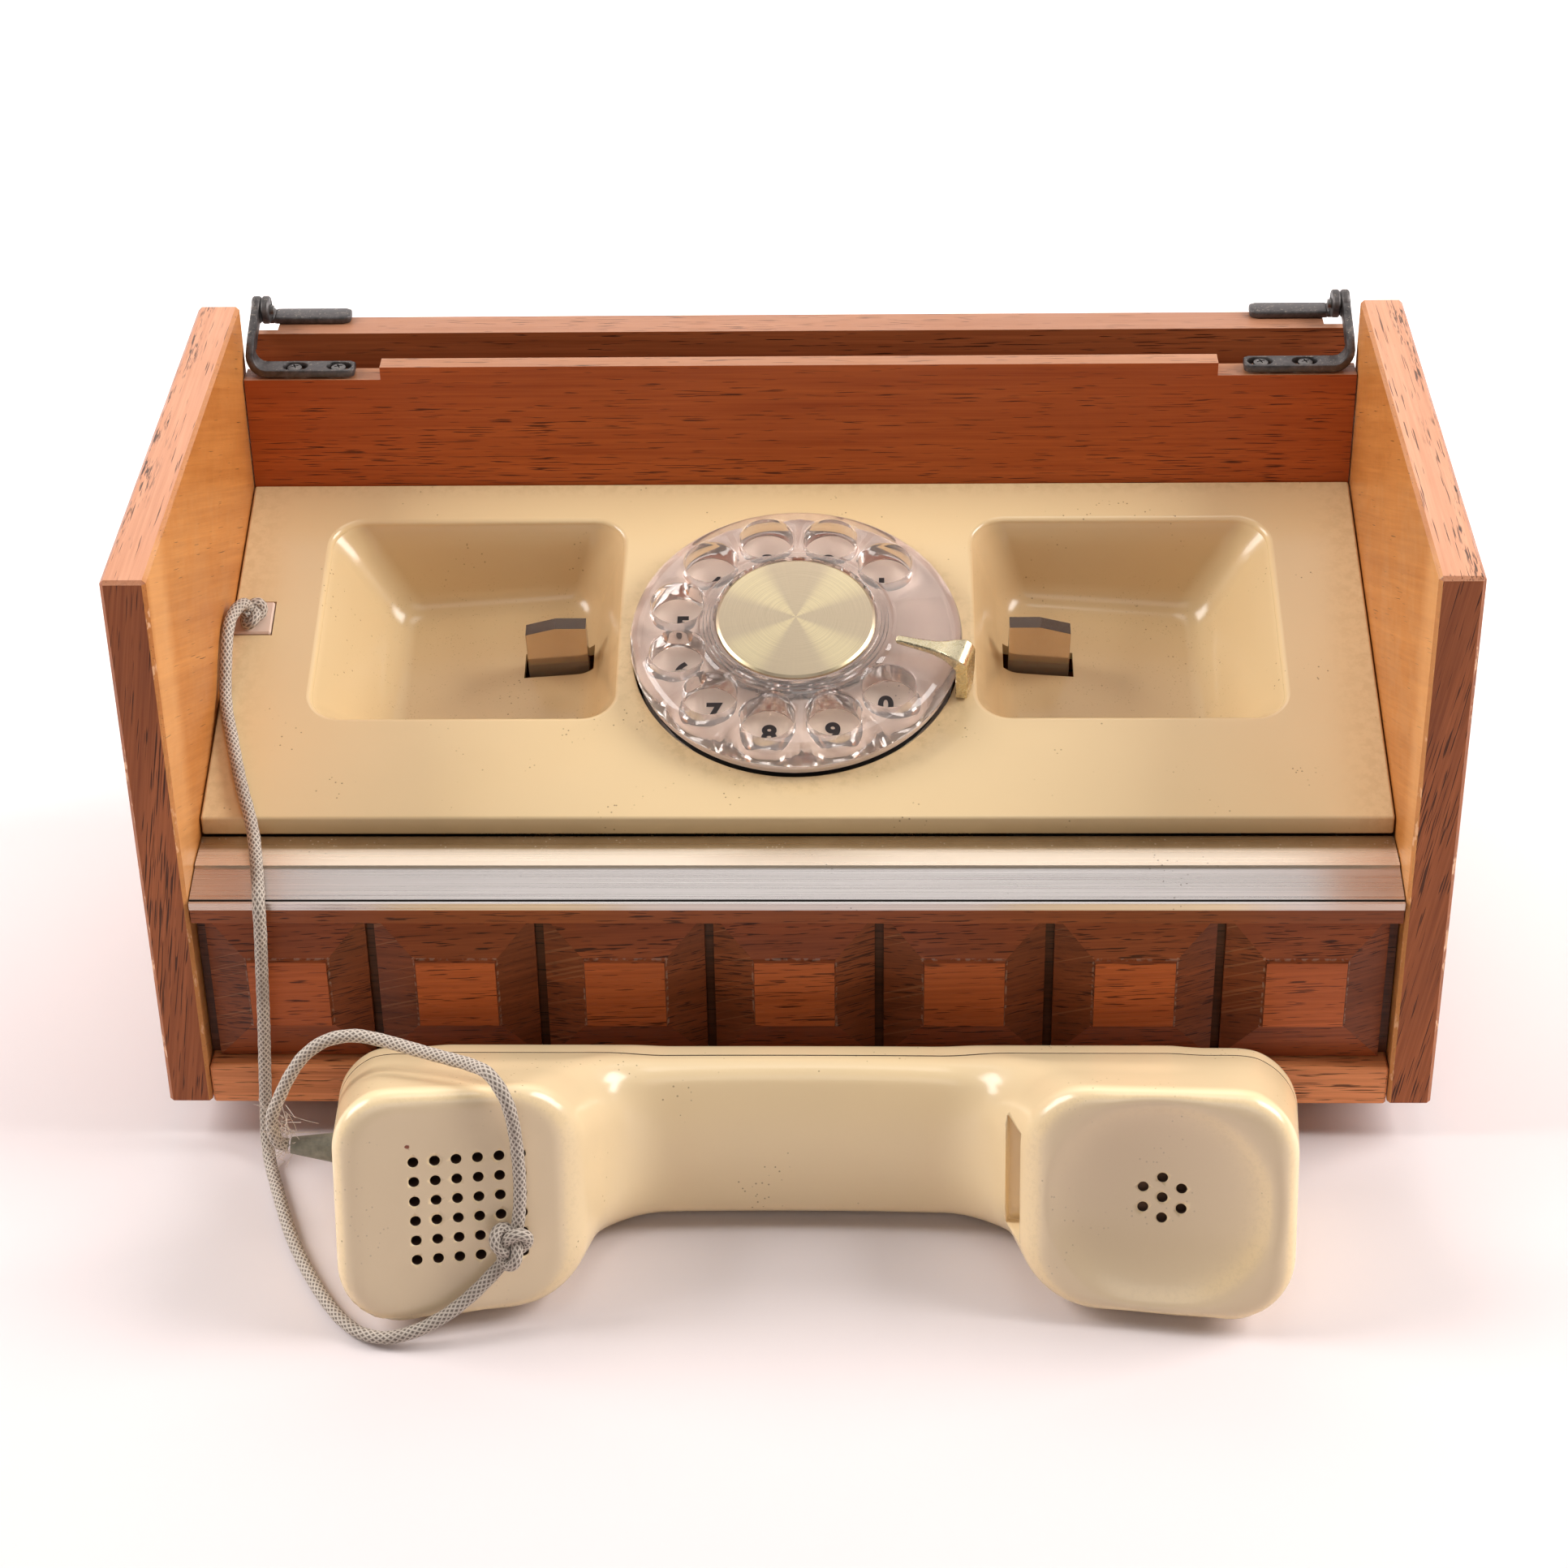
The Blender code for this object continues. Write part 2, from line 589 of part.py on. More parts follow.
# ---- handset -----------------------------------------------------------------------------
# Cross-sections along the handset: x, depth of the front face, half height there,
# half height at the seam, depth of the back.
HANDSET_SECTIONS = (
    (-0.0995, 0.0290, 0.0120, 0.0120, 0.0410),
    (-0.0985, 0.0180, 0.0165, 0.0150, 0.0435),
    (-0.0960, 0.0040, 0.0205, 0.0168, 0.0450),
    (-0.0930, -0.0035, 0.0225, 0.0178, 0.0458),
    (-0.0880, -0.0037, 0.0256, 0.0184, 0.0460),
    (-0.0820, -0.0026, 0.0264, 0.0184, 0.0460),
    (-0.0540, 0.0029, 0.0264, 0.0184, 0.0460),
    (-0.0480, 0.0042, 0.0256, 0.0184, 0.0460),
    (-0.0440, 0.0065, 0.0232, 0.0184, 0.0460),
    (-0.0410, 0.0150, 0.0205, 0.0184, 0.0460),
    (-0.0370, 0.0235, 0.0190, 0.0184, 0.0460),
    (-0.0280, 0.0280, 0.0183, 0.0184, 0.0460),
    (0.0000, 0.0290, 0.0182, 0.0184, 0.0460),
    (0.0340, 0.0280, 0.0183, 0.0184, 0.0460),
    (0.0440, 0.0230, 0.0190, 0.0184, 0.0460),
    (0.0485, 0.0145, 0.0205, 0.0184, 0.0460),
    (0.0515, 0.0052, 0.0230, 0.0184, 0.0460),
    (0.0555, 0.0029, 0.0256, 0.0184, 0.0460),
    (0.0620, 0.0019, 0.0264, 0.0184, 0.0460),
    (0.0910, -0.0017, 0.0264, 0.0184, 0.0460),
    (0.0970, -0.0024, 0.0256, 0.0184, 0.0458),
    (0.1010, -0.0018, 0.0225, 0.0178, 0.0455),
    (0.1040, 0.0060, 0.0205, 0.0168, 0.0448),
    (0.1063, 0.0190, 0.0165, 0.0150, 0.0435),
    (0.1073, 0.0290, 0.0120, 0.0120, 0.0410),
)


def handset_frame():
    """X along the handset, Y from the cup faces to the back, Z up across the cups."""
    origin = Matrix.Translation(HANDSET_ORIGIN + Vector((0.0, FRONT_Y, 0.0)))
    return origin @ Matrix.Rotation(HANDSET_TILT, 4, "X")


def handset_ring(x, front, front_half, seam_half, back, inset):
    """A rounded wedge: widest at the cup face, narrower at the seam, round at the back."""
    front += inset
    back -= inset
    front_half -= inset
    seam_half -= inset
    half = [(front, 0.0), (front, 0.55 * front_half), (front + 0.0006, 0.86 * front_half),
            (front + 0.0032, front_half)]
    slope = (seam_half - front_half) / (HANDSET_SEAM - front - 0.0032)
    for share in (0.35, 0.7):
        depth = front + 0.0032 + share * (HANDSET_SEAM - front - 0.0032)
        half.append((depth, front_half + slope * (depth - front - 0.0032)))
    half += [(HANDSET_SEAM + 0.001, seam_half), (back - 0.0035, 0.88 * seam_half),
             (back - 0.0006, 0.6 * seam_half), (back, 0.0)]
    upper = [(x, depth, HANDSET_MIDDLE + height) for depth, height in half]
    lower = [(x, depth, HANDSET_MIDDLE - height) for depth, height in half[-2:0:-1]]
    return upper + lower


def handset_body(name, inset, make_material):
    first, last = HANDSET_SECTIONS[0][0] + inset, HANDSET_SECTIONS[-1][0] - inset
    stretch = (last - first) / (HANDSET_SECTIONS[-1][0] - HANDSET_SECTIONS[0][0])
    rings = []
    for x, front, front_half, seam_half, back in HANDSET_SECTIONS:
        moved = first + (x - HANDSET_SECTIONS[0][0]) * stretch
        rings.append(handset_ring(moved, front, front_half, seam_half, back, inset))
    return loft(name, rings, handset_frame(), make_material)


def handset():
    frame = handset_frame()
    axis = guide_empty("handset_axis", frame)
    hollow = handset_body("handset_hollow", SHELL_WALL, None)
    pieces = []
    for name, keep_out in (("handset_front_shell", (HANDSET_SEAM - GAP / 2, 0.07)),
                           ("handset_back_shell", (-0.03, HANDSET_SEAM + GAP / 2))):
        shell = handset_body(name, 0.0, IVORY)
        rest = box(name + "_trim", (-0.12, 0.12), keep_out, (-0.02, 0.07), None, place=frame)
        cut(shell, hollow, rest)
        pieces.append(shell)
    facing = Matrix.Rotation(-math.pi / 2, 4, "X")
    for name, x, depth in (("transmitter_capsule", -0.0680, 0.0060),
                           ("receiver_capsule", 0.0765, 0.0060)):
        place = frame @ Matrix.Translation((x, depth, HANDSET_MIDDLE)) @ facing
        pieces.append(cylinder(name, 0.0165, 0.0, 0.009, place, STEEL, sides=24))
    for piece in pieces:
        hang(piece, axis)
    hang(strain_relief(), axis)


RELIEF_BASE = Vector((-0.0999, -0.0300, 0.0222))
RELIEF_TIP = Vector((-0.1090, -0.0300, 0.0228))


def strain_relief():
    """A tapered rubber sleeve at the mouthpiece end."""
    along = RELIEF_TIP - RELIEF_BASE
    place = Matrix.Translation(RELIEF_BASE + Vector((0.0, FRONT_Y, 0.0)))
    place = place @ along.to_track_quat("Z", "Y").to_matrix().to_4x4()
    length = along.length
    return turned("strain_relief",
                  [(0.0, length), (0.0018, length), (0.0029, 0.002), (0.0032, 0.0),
                   (0.0, 0.0)], place, GREY_RUBBER, steps=16)


# ---- cord --------------------------------------------------------------------------------
# The cord's middle line, with y counted back from the cabinet's front: out of the insert,
# down the faceplate, over the trim, down to the table, round in front of the mouthpiece,
# up its face, over its top and into the strain relief.
CORD_ROUTE = (
    (-0.1273, 0.0784, 0.0909),
    (-0.1275, 0.0772, 0.0940),
    (-0.1286, 0.0750, 0.0962),
    (-0.1301, 0.0710, 0.0963),
    (-0.1306, 0.0654, 0.0948),
    (-0.1306, 0.0610, 0.0920),
    (-0.1305, 0.0572, 0.0882),
    (-0.1303, 0.0534, 0.0849),
    (-0.1294, 0.0490, 0.0832),
    (-0.1272, 0.0412, 0.0810),
    (-0.1250, 0.0332, 0.0787),
    (-0.1225, 0.0252, 0.0765),
    (-0.1200, 0.0180, 0.0740),
    (-0.1186, 0.0123, 0.0720),
    (-0.1176, 0.0070, 0.0702),
    (-0.1166, 0.0016, 0.0688),
    (-0.1160, -0.0030, 0.0656),
    (-0.1161, -0.0037, 0.0600),
    (-0.1168, -0.0039, 0.0489),
    (-0.1176, -0.0040, 0.0360),
    (-0.1187, -0.0040, 0.0215),
    (-0.1194, -0.0046, 0.0105),
    (-0.1192, -0.0080, 0.0036),
    (-0.1175, -0.0136, 0.0016),
    (-0.1141, -0.0241, 0.0016),
    (-0.1104, -0.0346, 0.0016),
    (-0.1058, -0.0449, 0.0016),
    (-0.1002, -0.0550, 0.0016),
    (-0.0951, -0.0621, 0.0017),
    (-0.0896, -0.0664, 0.0019),
    (-0.0826, -0.0678, 0.0030),
    (-0.0746, -0.0661, 0.0059),
    (-0.0680, -0.0634, 0.0098),
    (-0.0620, -0.0607, 0.0153),
    (-0.0586, -0.0588, 0.0200),
    (-0.0570, -0.0567, 0.0270),
    (-0.0566, -0.0548, 0.0340),
    (-0.0569, -0.0529, 0.0410),
    (-0.0577, -0.0513, 0.0481),
    (-0.0592, -0.0502, 0.0536),
    (-0.0621, -0.0476, 0.0568),
    (-0.0668, -0.0432, 0.0560),
    (-0.0728, -0.0389, 0.0544),
    (-0.0790, -0.0350, 0.0532),
    (-0.0860, -0.0310, 0.0523),
    (-0.0926, -0.0286, 0.0519),
    (-0.0986, -0.0280, 0.0504),
    (-0.1034, -0.0282, 0.0472),
    (-0.1072, -0.0285, 0.0420),
    (-0.1100, -0.0290, 0.0366),
    (-0.1123, -0.0297, 0.0310),
    (-0.1129, -0.0300, 0.0268),
    (-0.1119, -0.0300, 0.0239),
    (-0.1096, -0.0300, 0.0229),
)


def smooth_route(points, spacing):
    """Evenly spaced points on a smooth curve through the route's points."""
    fine = []
    padded = [points[0] * 2 - points[1], *points, points[-1] * 2 - points[-2]]
    for before, start, end, after in zip(padded, padded[1:], padded[2:], padded[3:]):
        for step in range(20):
            t = step / 20
            fine.append(0.5 * (2 * start + (end - before) * t
                               + (2 * before - 5 * start + 4 * end - after) * t ** 2
                               + (3 * start - before - 3 * end + after) * t ** 3))
    fine.append(points[-1])
    route = [fine[0]]
    travelled = 0.0
    for start, end in zip(fine, fine[1:]):
        travelled += (end - start).length
        if travelled >= spacing:
            route.append(end)
            travelled = 0.0
    if travelled < spacing / 2:
        route.pop()
    route.append(fine[-1])
    return route


def cord():
    points = [Vector((x, FRONT_Y + y, z)) for x, y, z in CORD_ROUTE]
    route = smooth_route(points[:-1], 0.0062) + points[-1:]
    curve = bpy.data.curves.new("cord", "CURVE")
    curve.dimensions = "3D"
    curve.bevel_depth = CORD_RADIUS
    curve.bevel_resolution = 2
    curve.use_fill_caps = True
    spline = curve.splines.new("POLY")
    spline.points.add(len(route) - 1)
    for point, place in zip(spline.points, route):
        point.co = (*place, 1.0)
    curve.materials.append(BRAID("cord"))
    PARTS.objects.link(bpy.data.objects.new("cord", curve))


# ---- what stands on the base board ---------------------------------------------------------
def gong_profile(floor):
    """A bell cup open downwards, on a stem that stands on the base board."""
    return [(0.0, floor + 0.0205), (0.006, floor + 0.0200), (0.015, floor + 0.0165),
            (0.019, floor + 0.0100), (0.0195, floor + 0.0040), (0.018, floor + 0.0040),
            (0.0175, floor + 0.0095), (0.0138, floor + 0.0150), (0.0025, floor + 0.0180),
            (0.0025, floor), (0.0, floor)]


def bell_and_network():
    floor = FOOT_HEIGHT + 0.006 + GAP
    for side, x in ((-1, -0.062), (1, -0.010)):
        turned("gong_" + side_name(side), gong_profile(0.0),
               Matrix.Translation((x, FRONT_Y + 0.070, floor)), BRASS, steps=28)
    cabinet_box("ringer_coil", (-0.050, -0.022), (0.093, 0.113), (floor, 0.040), OAK_DARK,
                bevel=0.001)
    pivot = Matrix.Translation((-0.036, FRONT_Y + 0.0905, 0.026))
    axis = guide_empty("clapper_axis", pivot)
    clapper = turned("bell_clapper",
                     [(0.0, 0.0), (0.0009, 0.0), (0.0009, 0.0182), (0.0024, 0.0192),
                      (0.0028, 0.0208), (0.0018, 0.0228), (0.0, 0.0232)],
                     pivot @ Matrix.Rotation(math.pi / 2, 4, "X"), BRASS, steps=16)
    clapper.modifiers["turn"].angle = -2 * math.pi
    hang(clapper, axis)
    cabinet_box("network_block", (0.050, 0.105), (0.035, 0.080), (floor, 0.036), STEEL,
                bevel=0.001)


# ---- build -------------------------------------------------------------------------------
clear_scene()
PARTS = collection("desk_telephone")
CUTTERS = collection("cutters")
cabinet()
raised_blocks()
faceplate()
hookswitch()
dial()
hinges()
lid()
handset()
cord()
bell_and_network()
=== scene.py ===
"""Wood-cased desk telephone: the visual model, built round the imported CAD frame."""

import math
import random

import bmesh
import bpy
import numpy as np
from mathutils import Matrix, Vector


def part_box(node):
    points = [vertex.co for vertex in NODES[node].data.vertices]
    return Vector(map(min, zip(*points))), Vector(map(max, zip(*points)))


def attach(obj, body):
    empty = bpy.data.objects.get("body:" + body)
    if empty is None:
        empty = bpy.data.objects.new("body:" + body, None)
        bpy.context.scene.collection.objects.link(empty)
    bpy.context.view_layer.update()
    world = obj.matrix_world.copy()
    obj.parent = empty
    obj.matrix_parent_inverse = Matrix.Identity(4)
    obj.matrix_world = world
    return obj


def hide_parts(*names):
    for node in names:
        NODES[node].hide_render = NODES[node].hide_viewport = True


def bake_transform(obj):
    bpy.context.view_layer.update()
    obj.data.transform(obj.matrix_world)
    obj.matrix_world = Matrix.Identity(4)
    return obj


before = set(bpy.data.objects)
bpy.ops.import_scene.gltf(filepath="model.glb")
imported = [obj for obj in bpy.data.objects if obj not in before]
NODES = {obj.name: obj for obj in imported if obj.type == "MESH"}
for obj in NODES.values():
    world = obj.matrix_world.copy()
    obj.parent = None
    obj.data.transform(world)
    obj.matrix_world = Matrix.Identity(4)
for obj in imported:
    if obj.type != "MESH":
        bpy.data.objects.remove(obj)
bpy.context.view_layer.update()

MM = 0.001

# ---- the CAD's own dimensions, in metres -----------------------------------------------------
FRONT_Y = -0.0717
FIT_X = 0.132
PLATE_FRONT, PLATE_BACK = 0.021, 0.1207
PLATE_FRONT_Z, PLATE_BACK_Z = 0.0735, 0.1019
PLATE_TILT = math.atan2(PLATE_BACK_Z - PLATE_FRONT_Z, PLATE_BACK - PLATE_FRONT)
RECESS_X, RECESS_S = (0.0415, 0.111), (0.0296, 0.091)
RECESS_FLOOR_X, RECESS_FLOOR_S = (0.0485, 0.0965), (0.037, 0.0835)
RECESS_DEPTH = (0.0185, 0.0235)
DIAL_S = 0.0497
HOLE_CIRCLE, HOLE_RADIUS = 0.0282, 0.0061
FIRST_HOLE_DEG, HOLE_PITCH_DEG = 43.4, 30.6
STOP_DEG = -18.0
BLOCK_PITCH = 0.0374
BLOCK_MIDDLE_Z = 0.0399
HINGE_Y, HINGE_Z = 0.1395, 0.140
HANDSET_TILT = math.radians(-15.0)
HANDSET_ORIGIN = Vector((0.0, FRONT_Y - 0.063, 0.0036))
HANDSET_MIDDLE = 0.0264
HANDSET_SEAM = 0.036
CORD_RADIUS = 0.00145
# Each cup's face: its depth in mm at the handset's middle, and its slope along the handset.
MOUTH_FACE, EAR_FACE = (13.37, 0.194), (9.53, -0.123)
NUMERAL_SIZE, NUMERAL_CIRCLE, NUMERAL_DROP = 0.0068, 0.0272, 0.0007

# ---- camera ----------------------------------------------------------------------------------
CAMERA_ELEVATION, CAMERA_YAW, CAMERA_ROLL = 0.5487488, 0.0409748, -0.0244067
CAMERA_TARGET = Vector((-0.00976, FRONT_Y, 0.14284))
CAMERA_DISTANCE = 0.69859
CAMERA_LENS_MM, CAMERA_SENSOR_MM, CAMERA_SHIFT = 78.205, 36.0, (0.02763, -0.11755)


def make_camera():
    forward = Vector((-math.sin(CAMERA_YAW) * math.cos(CAMERA_ELEVATION),
                      math.cos(CAMERA_YAW) * math.cos(CAMERA_ELEVATION),
                      -math.sin(CAMERA_ELEVATION)))
    level = forward.cross(Vector((0, 0, 1))).normalized()
    upright = level.cross(forward)
    c, s = math.cos(CAMERA_ROLL), math.sin(CAMERA_ROLL)
    right, up = level * c + upright * s, upright * c - level * s
    data = bpy.data.cameras.new("camera")
    data.lens, data.sensor_width = CAMERA_LENS_MM, CAMERA_SENSOR_MM
    data.shift_x, data.shift_y = CAMERA_SHIFT
    camera = bpy.data.objects.new("camera", data)
    turn = Matrix((right, up, -forward)).transposed().to_4x4()
    camera.matrix_world = Matrix.Translation(CAMERA_TARGET - forward * CAMERA_DISTANCE) @ turn
    bpy.context.scene.collection.objects.link(camera)
    bpy.context.scene.camera = camera


make_camera()


# ---- mesh helpers ----------------------------------------------------------------------------
def add_object(name, mesh, place=None, materials=()):
    obj = bpy.data.objects.new(name, mesh)
    bpy.context.scene.collection.objects.link(obj)
    obj.matrix_world = place or Matrix()
    for material in materials:
        mesh.materials.append(material)
    return obj


def shade(obj, angle=35.0):
    obj.data.shade_smooth()
    obj.data.set_sharp_from_angle(angle=math.radians(angle))
    return obj


def mesh_from(name, points, faces):
    mesh = bpy.data.meshes.new(name)
    mesh.from_pydata([tuple(p) for p in points], [], faces)
    tidy = bmesh.new()
    tidy.from_mesh(mesh)
    bmesh.ops.remove_doubles(tidy, verts=tidy.verts, dist=1e-7)
    bmesh.ops.recalc_face_normals(tidy, faces=tidy.faces)
    tidy.to_mesh(mesh)
    tidy.free()
    return mesh


def loft(name, rings, place=None, materials=(), closed=True, angle=35.0):
    """A skin over rings of equal length, with flat ends unless closed is False."""
    count = len(rings[0])
    points = [p for ring in rings for p in ring]
    faces = []
    for r in range(len(rings) - 1):
        for i in range(count):
            j = (i + 1) % count
            faces.append((r * count + i, r * count + j, (r + 1) * count + j, (r + 1) * count + i))
    if closed:
        faces.append(tuple(range(count)))
        faces.append(tuple(range((len(rings) - 1) * count, len(rings) * count)))
    return shade(add_object(name, mesh_from(name, points, faces), place, materials), angle)


def turned(name, profile, place, materials=(), steps=96, angle=30.0, ring=False):
    """A profile of (radius, height) turned about Z; ring closes the profile on itself."""
    profile = list(profile) + ([profile[0]] if ring else [])
    rings = [[(r * math.cos(2 * math.pi * i / steps), r * math.sin(2 * math.pi * i / steps), h)
              for i in range(steps)] for r, h in profile]
    points = [p for one in rings for p in one]
    faces = [(r * steps + i, r * steps + (i + 1) % steps,
              (r + 1) * steps + (i + 1) % steps, (r + 1) * steps + i)
             for r in range(len(rings) - 1) for i in range(steps)]
    if not ring:
        for first, (radius, _) in ((0, profile[0]), ((len(rings) - 1) * steps, profile[-1])):
            if radius > 0:
                faces.append(tuple(range(first, first + steps)))
    return shade(add_object(name, mesh_from(name, points, faces), place, materials), angle)


def settle(obj):
    """Make a piece's modifiers part of its mesh."""
    graph = bpy.context.evaluated_depsgraph_get()
    done = bpy.data.meshes.new_from_object(obj.evaluated_get(graph),
                                           preserve_all_data_layers=True, depsgraph=graph)
    obj.modifiers.clear()
    obj.data = done
    return obj


def boolean(obj, other, operation="DIFFERENCE", transfer=False):
    modifier = obj.modifiers.new("boolean", "BOOLEAN")
    modifier.operation = operation
    modifier.object = other
    modifier.solver = "EXACT"
    if transfer:
        modifier.material_mode = "TRANSFER"
    settle(obj)
    bpy.data.objects.remove(other)
    return obj


def bevelled(obj, width, segments=2, angle=40.0):
    modifier = obj.modifiers.new("bevel", "BEVEL")
    modifier.width = width
    modifier.segments = segments
    modifier.limit_method = "ANGLE"
    modifier.angle_limit = math.radians(angle)
    modifier.harden_normals = True
    return obj


def weighted(obj):
    obj.modifiers.new("normals", "WEIGHTED_NORMAL").keep_sharp = True
    return obj


def block(name, x, y, z, place=None, materials=(), bevel=0.0, segments=2):
    rings = [[(a, b, c) for a, b in ((x[0], y[0]), (x[1], y[0]), (x[1], y[1]), (x[0], y[1]))]
             for c in z]
    obj = loft(name, rings, place, materials)
    if bevel:
        bevelled(obj, bevel, segments)
    return obj


def rounded_rectangle(x, y, radius, steps=10):
    points = []
    for cx, cy, start in ((x[1] - radius, y[1] - radius, 0), (x[0] + radius, y[1] - radius, 90),
                          (x[0] + radius, y[0] + radius, 180), (x[1] - radius, y[0] + radius, 270)):
        for step in range(steps + 1):
            angle = math.radians(start + 90 * step / steps)
            points.append((cx + radius * math.cos(angle), cy + radius * math.sin(angle)))
    return points


def span(side, near, far):
    return (near, far) if side > 0 else (-far, -near)


def side_name(side):
    return "left" if side < 0 else "right"


def lerp(a, b, share):
    return a + (b - a) * share


def plate_frame():
    corner = Matrix.Translation((0.0, FRONT_Y + PLATE_FRONT, PLATE_FRONT_Z))
    return corner @ Matrix.Rotation(PLATE_TILT, 4, "X")


def handset_frame():
    return Matrix.Translation(HANDSET_ORIGIN) @ Matrix.Rotation(HANDSET_TILT, 4, "X")


PLATE = plate_frame()
DIAL = PLATE @ Matrix.Translation((0.0, DIAL_S, 0.0))
HANDSET = handset_frame()


# ---- materials -------------------------------------------------------------------------------
class Finish:
    """A procedural material on one Principled shader."""

    def __init__(self, name, **fixed):
        self.material = bpy.data.materials.new(name)
        self.material.use_nodes = True
        self.tree = self.material.node_tree
        self.shader = self.tree.nodes["Principled BSDF"]
        for socket, value in fixed.items():
            self.put(self.shader.inputs[socket.replace("_", " ")], value)
        coordinates = self.tree.nodes.new("ShaderNodeTexCoord")
        self.object = coordinates.outputs["Object"]
        self.normal = coordinates.outputs["Normal"]
        self.uv = coordinates.outputs["UV"]

    def put(self, socket, value):
        if isinstance(value, bpy.types.NodeSocket):
            self.tree.links.new(value, socket)
        elif isinstance(value, tuple) and len(value) == 3 and socket.type == "RGBA":
            socket.default_value = (*value, 1.0)
        else:
            socket.default_value = value

    def node(self, kind, inputs, out=0, **settings):
        node = self.tree.nodes.new("ShaderNode" + kind)
        for key, value in settings.items():
            setattr(node, key, value)
        for key, value in inputs.items():
            self.put(node.inputs[key], value)
        return node.outputs[out]

    def math(self, operation, a, b=0.0, clamp=False):
        return self.node("Math", {0: a, 1: b}, operation=operation, use_clamp=clamp)

    def times(self, first, *others):
        for other in others:
            first = self.math("MULTIPLY", first, other)
        return first

    def plus(self, a, b):
        return self.math("ADD", a, b)

    def minus(self, a, b):
        return self.math("SUBTRACT", a, b)

    def size(self, value):
        return self.math("ABSOLUTE", value)

    def between(self, value, low, rise, fall, high):
        """1 from rise to fall, fading to 0 at low and at high."""
        return self.times(self.range(value, low, rise), self.range(value, high, fall))

    def stretch(self, vector, scale, turn=(0.0, 0.0, 0.0), move=(0.0, 0.0, 0.0)):
        turned_vector = self.node("Mapping", {"Vector": vector, "Rotation": turn, "Location": move})
        return self.node("Mapping", {"Vector": turned_vector, "Scale": scale})

    def noise(self, vector, scale=1.0, detail=3.0, rough=0.5, distortion=0.0):
        return self.node("TexNoise", {"Vector": vector, "Scale": scale, "Detail": detail,
                                      "Roughness": rough, "Distortion": distortion})

    def cells(self, vector, scale):
        return self.node("TexVoronoi", {"Vector": vector, "Scale": scale}, "Distance")

    def range(self, value, low, high, to_low=0.0, to_high=1.0):
        return self.node("MapRange", {"Value": value, "From Min": low, "From Max": high,
                                      "To Min": to_low, "To Max": to_high},
                         interpolation_type="SMOOTHSTEP")

    def ramp(self, value, stops):
        node = self.tree.nodes.new("ShaderNodeValToRGB")
        points = node.color_ramp.elements
        while len(points) < len(stops):
            points.new(0.5)
        for point, (place, colour) in zip(points, stops):
            point.position = place
            point.color = (*colour, 1.0)
        self.put(node.inputs[0], value)
        return node.outputs[0]

    def mix(self, share, a, b, mode="MIX"):
        node = self.tree.nodes.new("ShaderNodeMix")
        node.data_type, node.blend_type = "RGBA", mode
        self.put(node.inputs[0], share)
        self.put(node.inputs[6], a)
        self.put(node.inputs[7], b)
        return node.outputs[2]

    def axes(self, vector):
        node = self.tree.nodes.new("ShaderNodeSeparateXYZ")
        self.put(node.inputs[0], vector)
        return node.outputs

    def vector(self, x, y, z=0.0):
        return self.node("CombineXYZ", {0: x, 1: y, 2: z})

    def bump(self, height, distance, strength):
        return self.node("Bump", {"Height": height, "Distance": distance, "Strength": strength})

    def done(self, colour, roughness, normal):
        for socket, value in (("Base Color", colour), ("Roughness", roughness),
                              ("Normal", normal)):
            self.put(self.shader.inputs[socket], value)
        return self.material


def tint(colour, factor):
    return tuple(channel * factor for channel in colour)


ALONG_X = (0.0, 0.0, 0.0)
ALONG_Z = (0.0, math.pi / 2, 0.0)
ALONG_Y = (0.0, 0.0, math.pi / 2)


def grain(finish, vector, turn, dark, light, pores=0.5, seed=0.0, pore_length=1.0, bands=1.0):
    """Open-pored hardwood with its grain along the turned X: (colour, height)."""
    move = (seed * 0.37, seed * 0.91, seed * 0.53)
    band = finish.noise(finish.stretch(vector, (5.0, 95.0, 95.0), turn, move), 1.0, 3.0, 0.55, 0.6)
    streak = finish.noise(finish.stretch(vector, (22.0, 1100.0, 1100.0), turn, move), 1.0, 3.0, 0.6)
    fine = finish.noise(finish.stretch(vector, (70.0, 3600.0, 3600.0), turn, move), 1.0, 2.0, 0.5)
    dashes = finish.noise(finish.stretch(vector, (130.0 / pore_length, 3000.0, 3000.0), turn, move),
                          1.0, 1.0, 0.4)
    crowd = finish.times(finish.range(band, 0.42, 0.62), 0.055 * bands)
    level = finish.minus(0.735 - 0.1 * pores, crowd)
    pore = finish.math("MULTIPLY", finish.minus(dashes, level), 22.0, clamp=True)
    tone = finish.plus(finish.times(band, 0.5), finish.times(streak, 0.5))
    tone = finish.plus(finish.times(tone, 0.85), finish.times(fine, 0.15))
    middle = tuple((a + b) / 2 for a, b in zip(dark, light))
    colour = finish.ramp(tone, [(0.33, dark), (0.5, middle), (0.66, light)])
    colour = finish.mix(finish.times(pore, 0.85), colour, tint(dark, 0.16))
    height = finish.minus(finish.times(streak, 0.25), pore)
    return colour, height


def varnish(finish, colour, height, roughness=0.38, depth=0.00007):
    smear = finish.noise(finish.object, 55.0, 3.0, 0.6)
    return finish.done(colour, finish.range(smear, 0.3, 0.7, roughness - 0.06, roughness + 0.1),
                       finish.bump(height, depth, 0.55))


def new_wood(name):
    return Finish(name, Coat_Weight=0.06, Coat_Roughness=0.2, Specular_IOR_Level=0.22)


def plain_wood(name, turn, dark, light, pores=0.5, seed=0.0, pore_length=1.0, bands=1.0):
    finish = new_wood(name)
    colour, height = grain(finish, finish.object, turn, dark, light, pores, seed, pore_length,
                           bands)
    return varnish(finish, colour, height)


